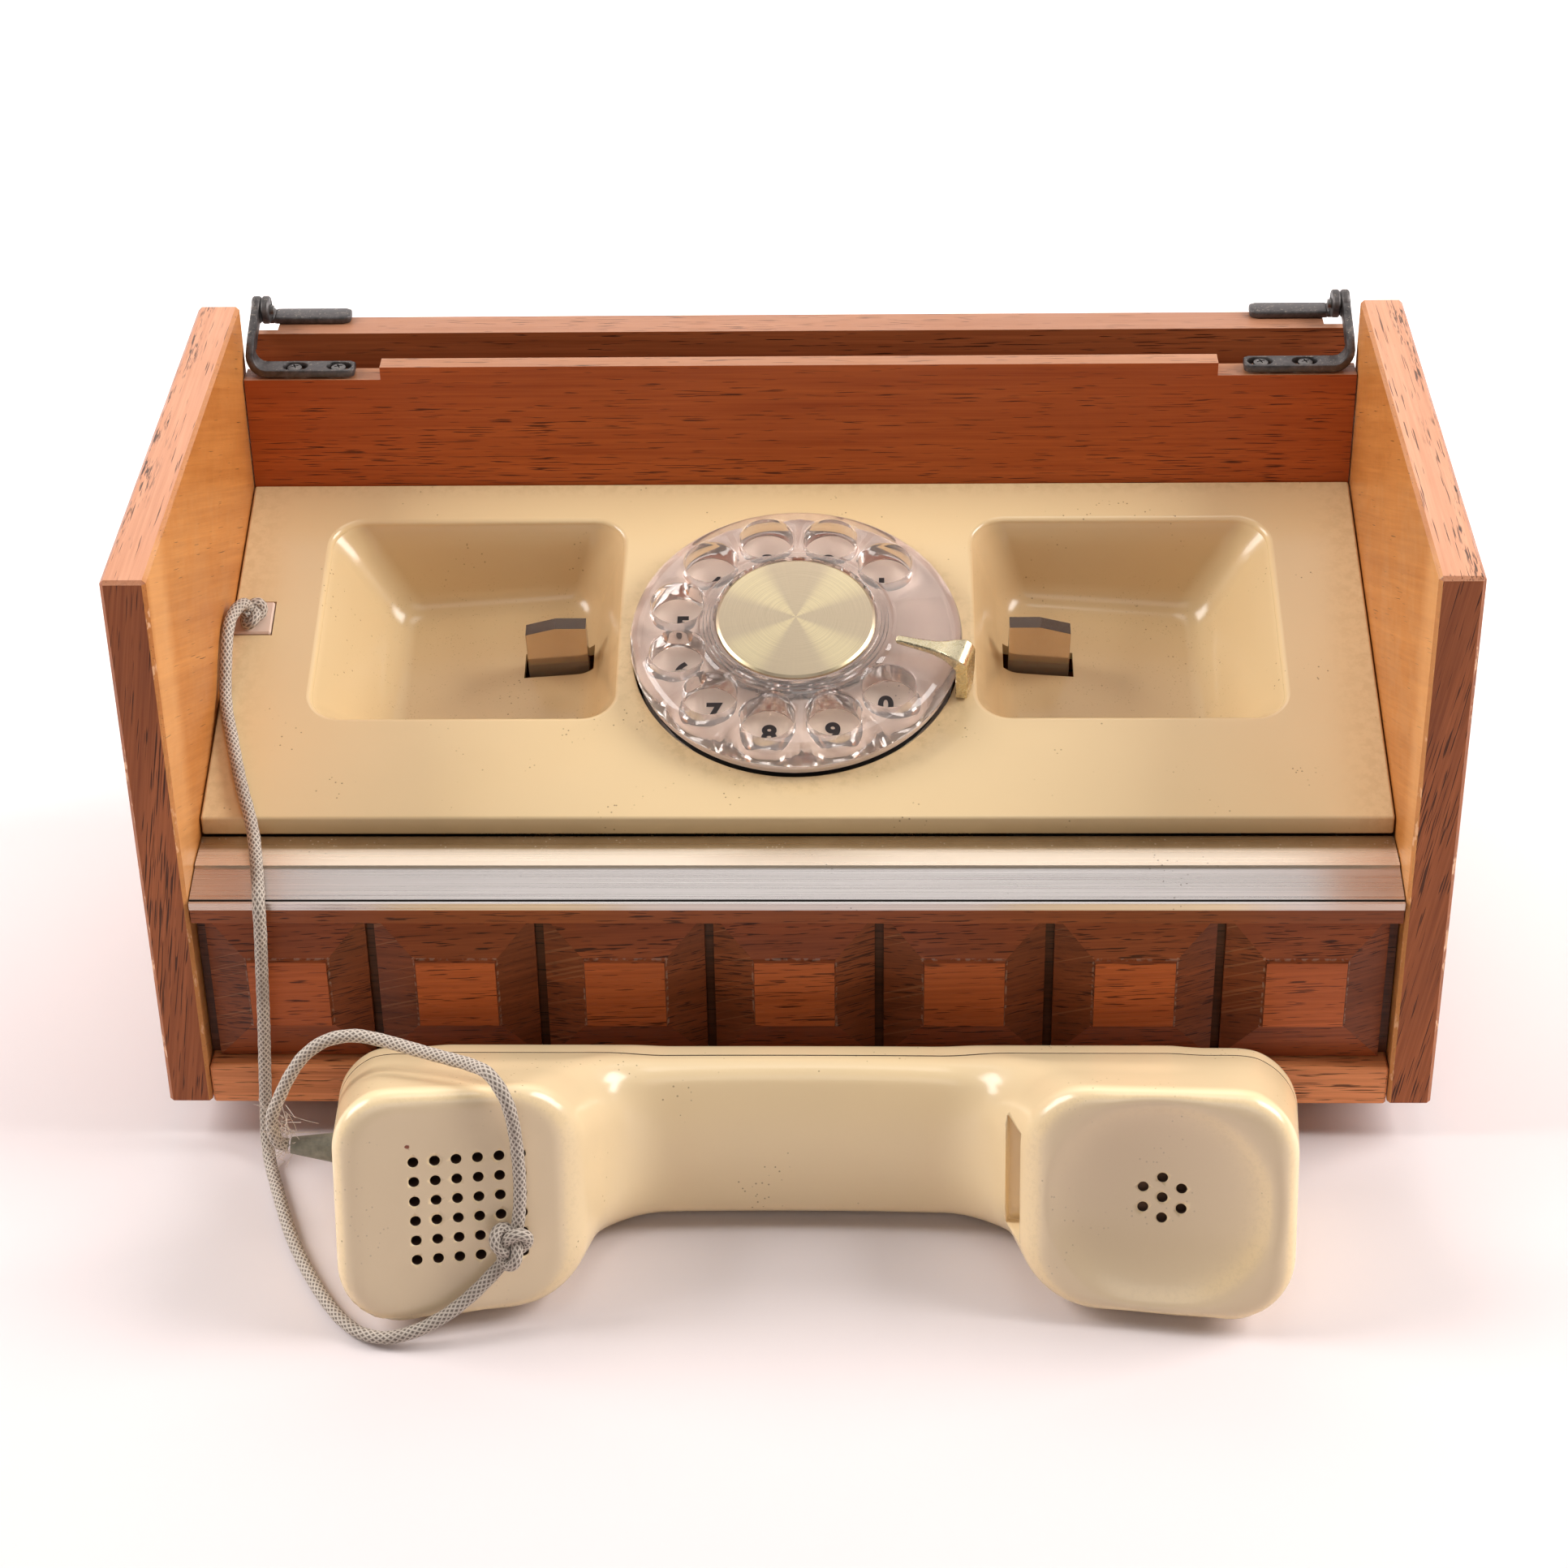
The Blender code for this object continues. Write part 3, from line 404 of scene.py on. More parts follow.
def edged_wood(name, face, edge):
    """A board along X whose edge that faces up has another tone; each is grain's settings."""
    finish = new_wood(name)
    face, height = grain(finish, finish.object, ALONG_X, *face)
    edge, _ = grain(finish, finish.object, ALONG_X, *edge)
    upward = finish.range(finish.axes(finish.normal)[2], 0.5, 0.8)
    return varnish(finish, finish.mix(upward, face, edge), height)


def side_wood(name, inward, seed):
    """Side panel: brown front edge, pale top edge with clustered pores, orange inner face."""
    finish = new_wood(name)
    nx, ny, nz = finish.axes(finish.normal)
    x, y, _ = finish.axes(finish.object)
    front, h1 = grain(finish, finish.object, (0.0, math.pi / 2 - 0.16, 0.0), (0.22, 0.056, 0.017),
                      (0.50, 0.150, 0.050), 0.8, seed, 1.5, 1.8)
    top, h2 = grain(finish, finish.object, ALONG_Y, (0.50, 0.215, 0.115),
                    (0.70, 0.345, 0.205), 0.4, seed + 3, 1.4, 1.2)
    outer = finish.range(finish.times(x, -inward), 0.1368, 0.1392)
    clusters = finish.noise(finish.stretch(finish.object, (260.0, 42.0, 260.0)), 1.0, 3.0, 0.7)
    flecks = finish.noise(finish.stretch(finish.object, (2400.0, 150.0, 2400.0)), 1.0, 2.0, 0.6)
    black = finish.times(finish.range(clusters, 0.47, 0.57), finish.range(flecks, 0.50, 0.56))
    black = finish.times(black, outer, 0.85)
    top = finish.mix(black, top, (0.03, 0.018, 0.016))
    slant = math.radians(28.0)
    inner, h3 = grain(finish, finish.object, (slant, 0.0, math.pi / 2), (0.41, 0.138, 0.029),
                      (0.60, 0.240, 0.062), 0.05, seed + 7, 1.6, 0.6)
    wave = finish.noise(finish.stretch(finish.object, (1.0, 9.0, 4.0)), 1.0, 2.0, 0.5)
    edge = finish.plus(y, finish.times(wave, 0.03))
    sap = finish.between(edge, FRONT_Y + 0.012, FRONT_Y + 0.017, FRONT_Y + 0.024,
                         FRONT_Y + 0.035)
    inner = finish.mix(finish.times(sap, 0.35), inner, (0.86, 0.47, 0.20))
    outer_face, _ = grain(finish, finish.object, ALONG_Z, (0.24, 0.072, 0.026),
                           (0.50, 0.185, 0.075), 0.55, seed + 5, 1.5, 1.0)
    inside = finish.range(finish.times(nx, inward), 0.5, 0.8)
    outside = finish.range(finish.times(nx, -inward), 0.5, 0.8)
    upward = finish.range(nz, 0.5, 0.8)
    colour = finish.mix(outside, finish.mix(inside, finish.mix(upward, front, top), inner),
                        outer_face)
    height = finish.mix(inside, finish.mix(upward, h1, h2), h3)
    wear = finish.noise(finish.stretch(finish.object, (400.0, 400.0, 160.0)), 1.0, 3.0, 0.7)
    arris = finish.times(finish.range(finish.size(nx), 0.25, 0.6),
                         finish.range(finish.size(ny), 0.25, 0.6))
    worn = finish.times(arris, finish.range(wear, 0.58, 0.66, 0.0, 0.7))
    colour = finish.mix(worn, colour, (0.82, 0.50, 0.30))
    return varnish(finish, colour, height)


def square_groove(finish, across, up):
    """1 along the worn line round a block's centre square."""
    sides = [finish.times(finish.between(here, 0.0089, 0.0091, 0.0093, 0.0095),
                          finish.range(there, 0.0097, 0.0095))
             for here, there in ((across, up), (up, across))]
    return finish.math("MAXIMUM", *sides)


def block_wood(name, seed, lid=False):
    """Raised block: each bevel and the centre square has its own grain; the side bevels are dark
    partly as painted shade in the gaps between blocks.
    """
    finish = new_wood(name)
    vector, normal = finish.object, finish.normal
    if lid:
        turn = {"Angle": -math.pi / 2}
        vector = finish.node("VectorRotate", {"Vector": vector, **turn}, rotation_type="X_AXIS")
        normal = finish.node("VectorRotate", {"Vector": normal, **turn}, rotation_type="X_AXIS")
    nx, ny, _ = finish.axes(normal)
    x, _, z = finish.axes(vector)
    cell = finish.math("FLOOR", finish.math("DIVIDE", finish.plus(x, 3.5 * BLOCK_PITCH),
                                            BLOCK_PITCH))
    shift = finish.vector(finish.times(cell, 0.173), finish.times(cell, 0.61),
                          finish.times(cell, 0.377))
    moved = finish.node("VectorMath", {0: vector, 1: shift}, operation="ADD")
    flat, h1 = grain(finish, moved, (0.0, 0.05, 0.0), (0.18, 0.041, 0.012), (0.40, 0.100, 0.030),
                     0.8, seed, 0.8, 1.2)
    square, _ = grain(finish, moved, (0.0, 0.04, 0.0), (0.36, 0.078, 0.018), (0.62, 0.155, 0.042),
                       0.75, seed + 2, 0.9, 1.2)
    level_run = finish.stretch(moved, (1.0, 0.04, 1.0))
    # The side bevels face the narrow gaps between blocks: their dark end grain is partly painted
    # shade.
    side, h3 = grain(finish, level_run, (0.0, 0.12, 0.0), (0.115, 0.029, 0.009),
                     (0.29, 0.076, 0.024), 0.9, seed + 4, 0.6, 1.4)
    rays = finish.noise(finish.stretch(level_run, (16.0, 16.0, 1500.0), (0.0, 0.42, 0.0)), 1.0, 1.0,
                        0.3)
    left = finish.range(nx, -0.12, -0.3)
    ray = finish.times(finish.range(rays, 0.60, 0.68), left, 0.28)
    side = finish.mix(ray, side, (0.52, 0.24, 0.11))
    sideways = finish.range(finish.size(nx), 0.15, 0.3)
    colour = finish.mix(sideways, flat, side)
    facing = finish.range(finish.times(ny, -1.0), 0.985, 0.996)
    across = finish.size(finish.minus(x, finish.times(finish.plus(cell, -3.0), BLOCK_PITCH)))
    facing = finish.times(facing, finish.range(across, 0.0102, 0.0098))
    colour = finish.mix(facing, colour, square)
    if not lid:
        groove = square_groove(finish, across, finish.size(finish.minus(z, BLOCK_MIDDLE_Z)))
        patchy = finish.range(finish.noise(vector, 700.0, 2.0), 0.45, 0.6)
        line = finish.times(groove, patchy, 0.35)
        colour = finish.mix(line, colour, (0.55, 0.40, 0.30))
    height = finish.mix(sideways, h1, h3)
    return varnish(finish, colour, height, 0.42)


def ivory(name, base, grime_amount=1.0, gloss=0.22, yellow=0.5):
    """Aged glossy moulded plastic with specks and stains."""
    finish = Finish(name, Coat_Weight=0.15, Coat_Roughness=0.12, Specular_IOR_Level=0.5)
    tone = finish.noise(finish.object, 18.0, 3.0, 0.5)
    colour = finish.ramp(tone, [(0.3, tint(base, 0.97)), (0.7, tint(base, 1.02))])
    stain = finish.range(finish.noise(finish.object, 16.0, 2.0, 0.4), 0.45, 0.85)
    warm = (base[0] * 0.96, base[1] * 0.88, base[2] * 0.70)
    colour = finish.mix(finish.times(stain, yellow), colour, warm)
    spots = finish.cells(finish.object, 640.0)
    chosen = finish.range(finish.noise(finish.object, 60.0, 2.0, 0.5), 0.57, 0.64)
    speck = finish.times(finish.range(spots, 0.17, 0.09), chosen)
    colour = finish.mix(finish.times(speck, 0.7 * grime_amount), colour, (0.20, 0.11, 0.055))
    roughness = finish.range(finish.noise(finish.object, 45.0, 2.0, 0.5), 0.3, 0.7, gloss - 0.01,
                             gloss + 0.03)
    normal = finish.bump(finish.noise(finish.object, 420.0, 2.0), 0.00003, 0.1)
    return finish, colour, roughness, normal


def handset_ivory():
    finish, colour, roughness, normal = ivory("handset_ivory", (0.88, 0.68, 0.41), 0.9, 0.22, 0.3)
    depth = finish.axes(finish.object)[1]
    forward = finish.times(finish.axes(finish.normal)[1], -1.0)
    face = finish.times(finish.range(forward, 0.80, 0.96), finish.range(depth, 0.016, 0.010))
    colour = finish.mix(finish.times(face, 0.6), colour, (0.76, 0.60, 0.42))
    rim = finish.times(finish.range(forward, 0.45, 0.72),
                       finish.range(forward, 0.97, 0.86))
    rim = finish.times(rim, finish.range(depth, 0.012, 0.004))
    dirt = finish.range(finish.noise(finish.object, 900.0, 4.0, 0.75), 0.47, 0.62)
    colour = finish.mix(finish.times(rim, dirt, 0.07), colour, (0.27, 0.19, 0.12))
    nick = finish.node("VectorMath", {0: finish.object, 1: (-0.0795, -0.0017, 0.0405)}, "Value",
                       operation="DISTANCE")
    ragged = finish.plus(nick, finish.times(finish.noise(finish.object, 900.0), 0.0016))
    colour = finish.mix(finish.range(ragged, 0.0015, 0.0012), colour, (0.24, 0.05, 0.02))
    return finish.done(colour, roughness, normal)


def plate_ivory():
    finish, colour, roughness, normal = ivory("faceplate_ivory", (0.77, 0.57, 0.315), 1.0, 0.2,
                                              0.25)
    x, s, h = finish.axes(finish.object)
    ax = finish.size(x)
    edge = finish.math("MAXIMUM", finish.range(ax, 0.119, 0.131), finish.range(s, 0.098, 0.1033))
    # Painted shade: near darkens the walls just under the surface, from 0.0375 to 0.047 m out
    # beside the dial.
    near = finish.times(finish.range(ax, 0.0375, 0.047), finish.range(h, -0.0005, -0.003))
    low = finish.range(h, -0.011, -0.019)
    dirt = finish.noise(finish.object, 330.0, 4.0, 0.7)
    film = finish.times(finish.range(dirt, 0.40, 0.62), edge, 0.2)
    colour = finish.mix(film, colour, (0.44, 0.27, 0.13))
    grit = finish.times(finish.range(finish.cells(finish.object, 1500.0), 0.30, 0.12),
                        finish.range(dirt, 0.48, 0.62))
    well = finish.times(grit, low, 0.55)
    colour = finish.mix(well, colour, (0.36, 0.225, 0.105))
    round_dial = finish.node("VectorMath", {0: finish.object, 1: (0.0, DIAL_S, 0.0)}, "Value",
                             operation="DISTANCE")
    soot = finish.times(finish.range(round_dial, 0.046, 0.0385), finish.range(dirt, 0.45, 0.66))
    colour = finish.mix(finish.times(soot, 0.2), colour, (0.30, 0.19, 0.10))
    # Painted shade on the walls that near marks.
    colour = finish.mix(finish.times(near, 0.25), colour, (0.52, 0.34, 0.16))
    return finish.done(colour, roughness, normal)


def small_ivory(name, base):
    finish, colour, roughness, normal = ivory(name, base, 0.8, 0.3)
    return finish.done(colour, roughness, normal)


def metal(name, base, roughness=0.35, wear=(0.5, 0.5, 0.5), worn=0.3, brushed=None, bump=0.00003):
    """Metal with worn patches and, where brushed is a scale, a brushed grain."""
    finish = Finish(name, Metallic=1.0)
    patches = finish.noise(finish.object, 210.0, 4.0, 0.7)
    colour = finish.mix(finish.times(finish.range(patches, 0.5, 0.68), worn), base, wear)
    vector = finish.stretch(finish.object, brushed) if brushed else finish.object
    lines = finish.noise(vector, 1.0 if brushed else 900.0, 3.0, 0.6)
    rough = finish.range(lines, 0.3, 0.7, roughness - 0.07, roughness + 0.12)
    return finish.done(colour, rough, finish.bump(lines, bump, 0.35))


def black_steel():
    finish = Finish("hinge_steel", Metallic=0.75, Specular_IOR_Level=0.5)
    patches = finish.noise(finish.object, 330.0, 5.0, 0.75)
    colour = finish.ramp(patches, [(0.35, (0.06, 0.056, 0.056)), (0.6, (0.125, 0.113, 0.11)),
                                   (0.78, (0.32, 0.28, 0.24))])
    dust = finish.range(finish.noise(finish.object, 1500.0, 2.0, 0.6), 0.60, 0.70)
    nz = finish.axes(finish.normal)[2]
    dust = finish.times(dust, finish.range(nz, 0.5, 0.9))
    colour = finish.mix(finish.times(dust, 0.6), colour, (0.36, 0.31, 0.25))
    return finish.done(colour, finish.range(patches, 0.3, 0.7, 0.36, 0.6),
                       finish.bump(patches, 0.00012, 0.5))


def trim_metal():
    """Brushed aluminium strip: upper band of dust and painted lip reflection, painted bright
    reflection band, brushed slope, groove painted dark as shade, lip, ends tinted as painted
    reflection of the wood.
    """
    finish = Finish("trim_aluminium", Metallic=0.85)
    x, y, _ = finish.axes(finish.object)
    lines = finish.noise(finish.stretch(finish.object, (7.0, 2600.0, 2600.0)), 1.0, 3.0, 0.65)
    smudge = finish.noise(finish.stretch(finish.object, (35.0, 240.0, 90.0)), 1.0, 4.0, 0.7)
    steel = finish.ramp(lines, [(0.3, (0.50, 0.46, 0.44)), (0.7, (0.70, 0.655, 0.63))])
    # Painted reflection: near both ends the steel takes the brown of the side panels it mirrors.
    ends = finish.range(finish.size(x), 0.110, 0.122)
    steel = finish.mix(finish.times(ends, 0.6), steel, (0.55, 0.37, 0.26))
    steel = finish.mix(finish.range(smudge, 0.62, 0.75, 0.0, 0.25), steel, (0.42, 0.36, 0.31))
    # Painted reflection: the bright warm band is coloured as the surroundings mirrored in the
    # strip.
    bright = finish.mix(lines, (0.76, 0.64, 0.50), (0.86, 0.75, 0.61))
    # The upper band is dust with pale specks; its brown is partly a painted reflection of the
    # faceplate's shaded lip.
    dust_and_lip_reflection = finish.mix(finish.noise(finish.object, 90.0, 4.0, 0.7), (0.36, 0.24, 0.12),
                       (0.56, 0.42, 0.26))
    specks = finish.times(finish.range(finish.cells(finish.object, 900.0), 0.26, 0.12),
                          finish.range(finish.noise(finish.object, 130.0, 3.0, 0.7), 0.48, 0.62))
    dust_and_lip_reflection = finish.mix(finish.times(specks, 0.7), dust_and_lip_reflection, (0.86, 0.78, 0.62))
    ragged = finish.plus(y, finish.times(smudge, 0.0012))
    colour = finish.mix(finish.range(y, FRONT_Y + 0.0101, FRONT_Y + 0.0103), steel, bright)
    colour = finish.mix(finish.range(ragged, FRONT_Y + 0.0160, FRONT_Y + 0.0175), colour, dust_and_lip_reflection)
    # Painted shade: the groove by the lip is coloured nearly black.
    groove = finish.between(y, FRONT_Y + 0.00055, FRONT_Y + 0.0007, FRONT_Y + 0.0011,
                            FRONT_Y + 0.0013)
    colour = finish.mix(groove, colour, (0.03, 0.025, 0.02))
    pits = finish.times(finish.range(finish.cells(finish.object, 620.0), 0.16, 0.07),
                        finish.range(finish.noise(finish.object, 42.0, 3.0), 0.60, 0.70))
    colour = finish.mix(finish.times(pits, 0.8), colour, (0.12, 0.09, 0.07))
    rough = finish.range(lines, 0.3, 0.7, 0.24, 0.38)
    return finish.done(colour, rough, finish.bump(lines, 0.00004, 0.35))


def brushed_cap():
    """Circular brushing, with a painted sheen of four bright wedges at 45 degrees."""
    finish = Finish("dial_cap_gold", Metallic=0.9)
    x, y, _ = finish.axes(finish.object)
    angle = finish.math("ARCTAN2", y, x)
    radius = finish.math("SQRT", finish.plus(finish.times(x, x), finish.times(y, y)))
    painted_sheen_wedge = finish.math("SINE", finish.times(angle, 2.0))
    painted_sheen_wedge = finish.range(finish.size(painted_sheen_wedge), 0.62, 1.0)
    rays = finish.noise(finish.vector(finish.times(finish.math("SINE", angle), 26.0),
                                      finish.times(finish.math("COSINE", angle), 26.0)), 1.0, 3.0,
                        0.6)
    lines = finish.noise(finish.vector(finish.times(radius, 9000.0), finish.times(angle, 0.6)), 1.0,
                         2.0, 0.6)
    # Painted highlight: share lightens the colour in the four wedges.
    share = finish.plus(finish.times(painted_sheen_wedge, 0.75), finish.times(rays, 0.25))
    colour = finish.mix(share, (0.60, 0.485, 0.345), (0.84, 0.71, 0.44))
    colour = finish.mix(finish.range(lines, 0.35, 0.65, 0.0, 0.3), colour, (0.42, 0.33, 0.21))
    return finish.done(colour, finish.range(lines, 0.3, 0.7, 0.30, 0.42),
                       finish.bump(lines, 0.00003, 0.3))


def gold():
    finish = Finish("finger_stop_gold", Metallic=0.95)
    worn = finish.noise(finish.object, 420.0, 5.0, 0.75)
    colour = finish.ramp(worn, [(0.35, (0.66, 0.55, 0.33)), (0.55, (0.78, 0.68, 0.46)),
                                (0.72, (0.45, 0.36, 0.22))])
    return finish.done(colour, finish.range(worn, 0.3, 0.7, 0.18, 0.36),
                       finish.bump(worn, 0.00004, 0.35))


def clear_plastic():
    finish = Finish("clear_wheel", Transmission_Weight=0.87, IOR=1.43, Specular_IOR_Level=0.5)
    haze = finish.noise(finish.object, 160.0, 4.0, 0.7)
    colour = finish.mix(haze, (0.92, 0.83, 0.78), (0.89, 0.79, 0.74))
    scratch = finish.noise(finish.stretch(finish.object, (2400.0, 160.0, 500.0), (0.0, 0.0, 0.6)),
                           1.0, 2.0)
    return finish.done(colour, finish.range(haze, 0.35, 0.7, 0.02, 0.07),
                       finish.bump(finish.range(scratch, 0.64, 0.74), 0.00002, 0.2))


def smoky_plastic():
    finish = Finish("smoky_tab", Transmission_Weight=0.85, IOR=1.49)
    haze = finish.noise(finish.object, 420.0, 3.0, 0.6)
    colour = finish.mix(haze, (0.78, 0.60, 0.44), (0.86, 0.70, 0.54))
    nz = finish.axes(finish.normal)[2]
    colour = finish.mix(finish.range(nz, 0.3, 0.7, 0.0, 0.7), colour, (0.13, 0.055, 0.03))
    return finish.done(colour, finish.range(haze, 0.3, 0.7, 0.08, 0.2),
                       finish.bump(haze, 0.00003, 0.2))


def solid(name, base, roughness=0.6, scale=300.0, contrast=0.25, bump=0.00005):
    finish = Finish(name, Metallic=0.0)
    grainy = finish.noise(finish.object, scale, 4.0, 0.65)
    colour = finish.ramp(grainy, [(0.3, tint(base, 1.0 - contrast)),
                                  (0.7, tint(base, 1.0 + contrast))])
    return finish.done(colour, finish.range(grainy, 0.3, 0.7, roughness - 0.08, roughness + 0.1),
                       finish.bump(grainy, bump, 0.4))


def braid():
    """Grey-brown braided sleeve; U runs along the cord in metres, V once round it."""
    finish = Finish("cord_braid", Sheen_Weight=0.15, Sheen_Roughness=0.4)
    u, v, _ = finish.axes(finish.uv)
    strands, lay = 8.0, 640.0
    one = finish.plus(finish.times(u, lay), finish.times(v, strands))
    two = finish.minus(finish.times(u, lay), finish.times(v, strands))
    waves = [finish.math("SINE", finish.times(w, 2 * math.pi)) for w in (one, two)]
    check = finish.times(waves[0], waves[1])
    over = finish.math("MAXIMUM", waves[0], waves[1])
    fibre = finish.noise(finish.vector(finish.times(u, 5200.0), finish.times(v, 60.0)), 1.0, 3.0,
                         0.7)
    dirt = finish.noise(finish.object, 60.0, 4.0, 0.6)
    colour = finish.ramp(finish.plus(finish.times(over, 0.3), finish.times(fibre, 0.7)),
                         [(0.25, (0.16, 0.125, 0.10)), (0.5, (0.46, 0.385, 0.32)),
                          (0.85, (0.84, 0.75, 0.65))])
    colour = finish.mix(finish.range(dirt, 0.5, 0.7, 0.0, 0.4), colour, (0.20, 0.15, 0.115))
    height = finish.plus(over, finish.times(check, 0.4))
    return finish.done(colour, 0.72, finish.bump(height, 0.00012, 0.6))


# ---- cord ------------------------------------------------------------------------------------
CORD_ROUTE = (
    (-0.1273, 0.0784, 0.0909), (-0.1275, 0.0772, 0.0940), (-0.1286, 0.0750, 0.0962),
    (-0.1301, 0.0710, 0.0963), (-0.1306, 0.0654, 0.0948), (-0.1306, 0.0610, 0.0920),
    (-0.1305, 0.0572, 0.0882), (-0.1303, 0.0534, 0.0849), (-0.1294, 0.0490, 0.0832),
    (-0.1272, 0.0412, 0.0810), (-0.1250, 0.0332, 0.0787), (-0.1225, 0.0252, 0.0765),
    (-0.1200, 0.0180, 0.0740), (-0.1186, 0.0123, 0.0720), (-0.1176, 0.0070, 0.0702),
    (-0.1166, 0.0016, 0.0688), (-0.1160, -0.0030, 0.0656), (-0.1161, -0.0037, 0.0600),
    (-0.1168, -0.0039, 0.0489), (-0.1176, -0.0040, 0.0360), (-0.1187, -0.0040, 0.0215),
    (-0.1194, -0.0046, 0.0105), (-0.1192, -0.0080, 0.0036), (-0.1175, -0.0136, 0.0016),
    (-0.1141, -0.0241, 0.0016), (-0.1104, -0.0346, 0.0016), (-0.1058, -0.0449, 0.0016),
    (-0.1002, -0.0550, 0.0016), (-0.0951, -0.0621, 0.0017), (-0.0896, -0.0664, 0.0019),
    (-0.0826, -0.0678, 0.0030), (-0.0746, -0.0661, 0.0059), (-0.0680, -0.0634, 0.0098),
    (-0.0620, -0.0607, 0.0153), (-0.0586, -0.0588, 0.0200), (-0.0570, -0.0567, 0.0270),
    (-0.0566, -0.0548, 0.0340), (-0.0569, -0.0529, 0.0410), (-0.0577, -0.0513, 0.0481),
    (-0.0592, -0.0502, 0.0536), (-0.0621, -0.0476, 0.0568), (-0.0668, -0.0432, 0.0560),
    (-0.0728, -0.0389, 0.0544), (-0.0790, -0.0350, 0.0532), (-0.0860, -0.0310, 0.0523),
    (-0.0926, -0.0286, 0.0519), (-0.0986, -0.0280, 0.0504), (-0.1034, -0.0282, 0.0472),
    (-0.1072, -0.0285, 0.0420), (-0.1100, -0.0290, 0.0366), (-0.1123, -0.0297, 0.0310),
    (-0.1129, -0.0300, 0.0268), (-0.1119, -0.0300, 0.0239), (-0.1096, -0.0300, 0.0229),
)


def smooth_route(points, spacing):
    """Evenly spaced points on a smooth curve through the route's points."""
    points = [Vector(p) for p in points]
    fine = []
    padded = [points[0] * 2 - points[1], *points, points[-1] * 2 - points[-2]]
    for before, start, end, after in zip(padded, padded[1:], padded[2:], padded[3:]):
        for step in range(20):
            t = step / 20
            fine.append(0.5 * (2 * start + (end - before) * t
                               + (2 * before - 5 * start + 4 * end - after) * t * t
                               + (3 * start - before - 3 * end + after) * t * t * t))
    fine.append(points[-1])
    travel = [0.0]
    for a, b in zip(fine, fine[1:]):
        travel.append(travel[-1] + (b - a).length)
    count = max(2, round(travel[-1] / spacing))
    route, place = [], 0
    for step in range(count + 1):
        target = travel[-1] * step / count
        while place < len(travel) - 2 and travel[place + 1] < target:
            place += 1
        stretch = max(travel[place + 1] - travel[place], 1e-12)
        route.append(fine[place].lerp(fine[place + 1], (target - travel[place]) / stretch))
    return route


def braided_tube(name, route, radius, material, sides=20, relief=0.00007, closed=False):
    """A tube with its braid standing in relief and UVs that follow it."""
    count = len(route)
    tangents = []
    for i in range(count):
        ahead = route[(i + 1) % count] if closed else route[min(i + 1, count - 1)]
        behind = route[i - 1] if closed or i else route[0]
        tangents.append((ahead - behind).normalized())
    normal = tangents[0].orthogonal().normalized()
    shape = bmesh.new()
    layer = shape.loops.layers.uv.new("along")
    rings, places, travel = [], [], 0.0
    for i, (point, tangent) in enumerate(zip(route, tangents)):
        if i:
            travel += (point - route[i - 1]).length
        places.append(travel)
        normal = (normal - tangent * normal.dot(tangent)).normalized()
        other = tangent.cross(normal)
        ring = []
        for side in range(sides):
            angle = 2 * math.pi * side / sides
            wave = math.sin(6 * angle + travel * 3300) * math.sin(6 * angle - travel * 3300)
            reach = radius + relief * wave
            ring.append(shape.verts.new(point + (normal * math.cos(angle)
                                                 + other * math.sin(angle)) * reach))
        rings.append(ring)
    last = count if closed else count - 1
    for i in range(last):
        here, there = rings[i], rings[(i + 1) % count]
        end = places[i + 1] if i + 1 < count else places[i] + (route[0] - route[i]).length
        for side in range(sides):
            after = (side + 1) % sides
            face = shape.faces.new((here[side], here[after], there[after], there[side]))
            for loop, (u, v) in zip(face.loops, ((places[i], side), (places[i], side + 1),
                                                 (end, side + 1), (end, side))):
                loop[layer].uv = (u, v / sides)
    if not closed:
        shape.faces.new(rings[0][::-1])
        shape.faces.new(rings[-1])
    mesh = bpy.data.meshes.new(name)
    shape.to_mesh(mesh)
    shape.free()
    mesh.shade_smooth()
    return add_object(name, mesh, None, [material])


BRAID = braid()


def knot_route(centre, facing, up, size, depth=0.55, count=90):
    """A trefoil, which is what an overhand knot's own strand follows."""
    facing = Vector(facing).normalized()
    side = Vector(up).cross(facing).normalized()
    up = facing.cross(side)
    route = []
    for i in range(count):
        t = 2 * math.pi * i / count
        a = (math.sin(t) + 2 * math.sin(2 * t)) / 3
        b = (math.cos(t) - 2 * math.cos(2 * t)) / 3
        c = -math.sin(3 * t)
        route.append(centre + (side * a + up * b * 1.25) * size + facing * c * size * depth * 0.5)
    return route


def make_cord():
    points = [Vector((x, FRONT_Y + y, z)) for x, y, z in CORD_ROUTE]
    coarse = smooth_route(points[:-1], 0.0062) + points[-1:]
    route = smooth_route(coarse, 0.0008)
    cord = braided_tube("braided_cord", route, CORD_RADIUS - 0.00005, BRAID)
    knot = braided_tube("cord_knot", knot_route(Vector((-0.0588, FRONT_Y - 0.0598, 0.0213)),
                                                (0.0, -0.96, 0.26), (0.15, 0.0, 1.0), 0.0037),
                        0.0013, BRAID, closed=True)
    collar = braided_tube("cord_exit_knot", knot_route(Vector((-0.1272, FRONT_Y + 0.0772, 0.0926)),
                                                       PLATE.to_3x3() @ Vector((0.1, -0.25, 1.0)),
                                                       (0.0, 1.0, 0.0), 0.0026), 0.00125, BRAID,
                          closed=True)
    threads = fray()
    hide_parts("cord")
    for piece, body in ((knot, "handset"), (collar, "cabinet"), (threads, "handset")):
        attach(piece, body)
    return cord


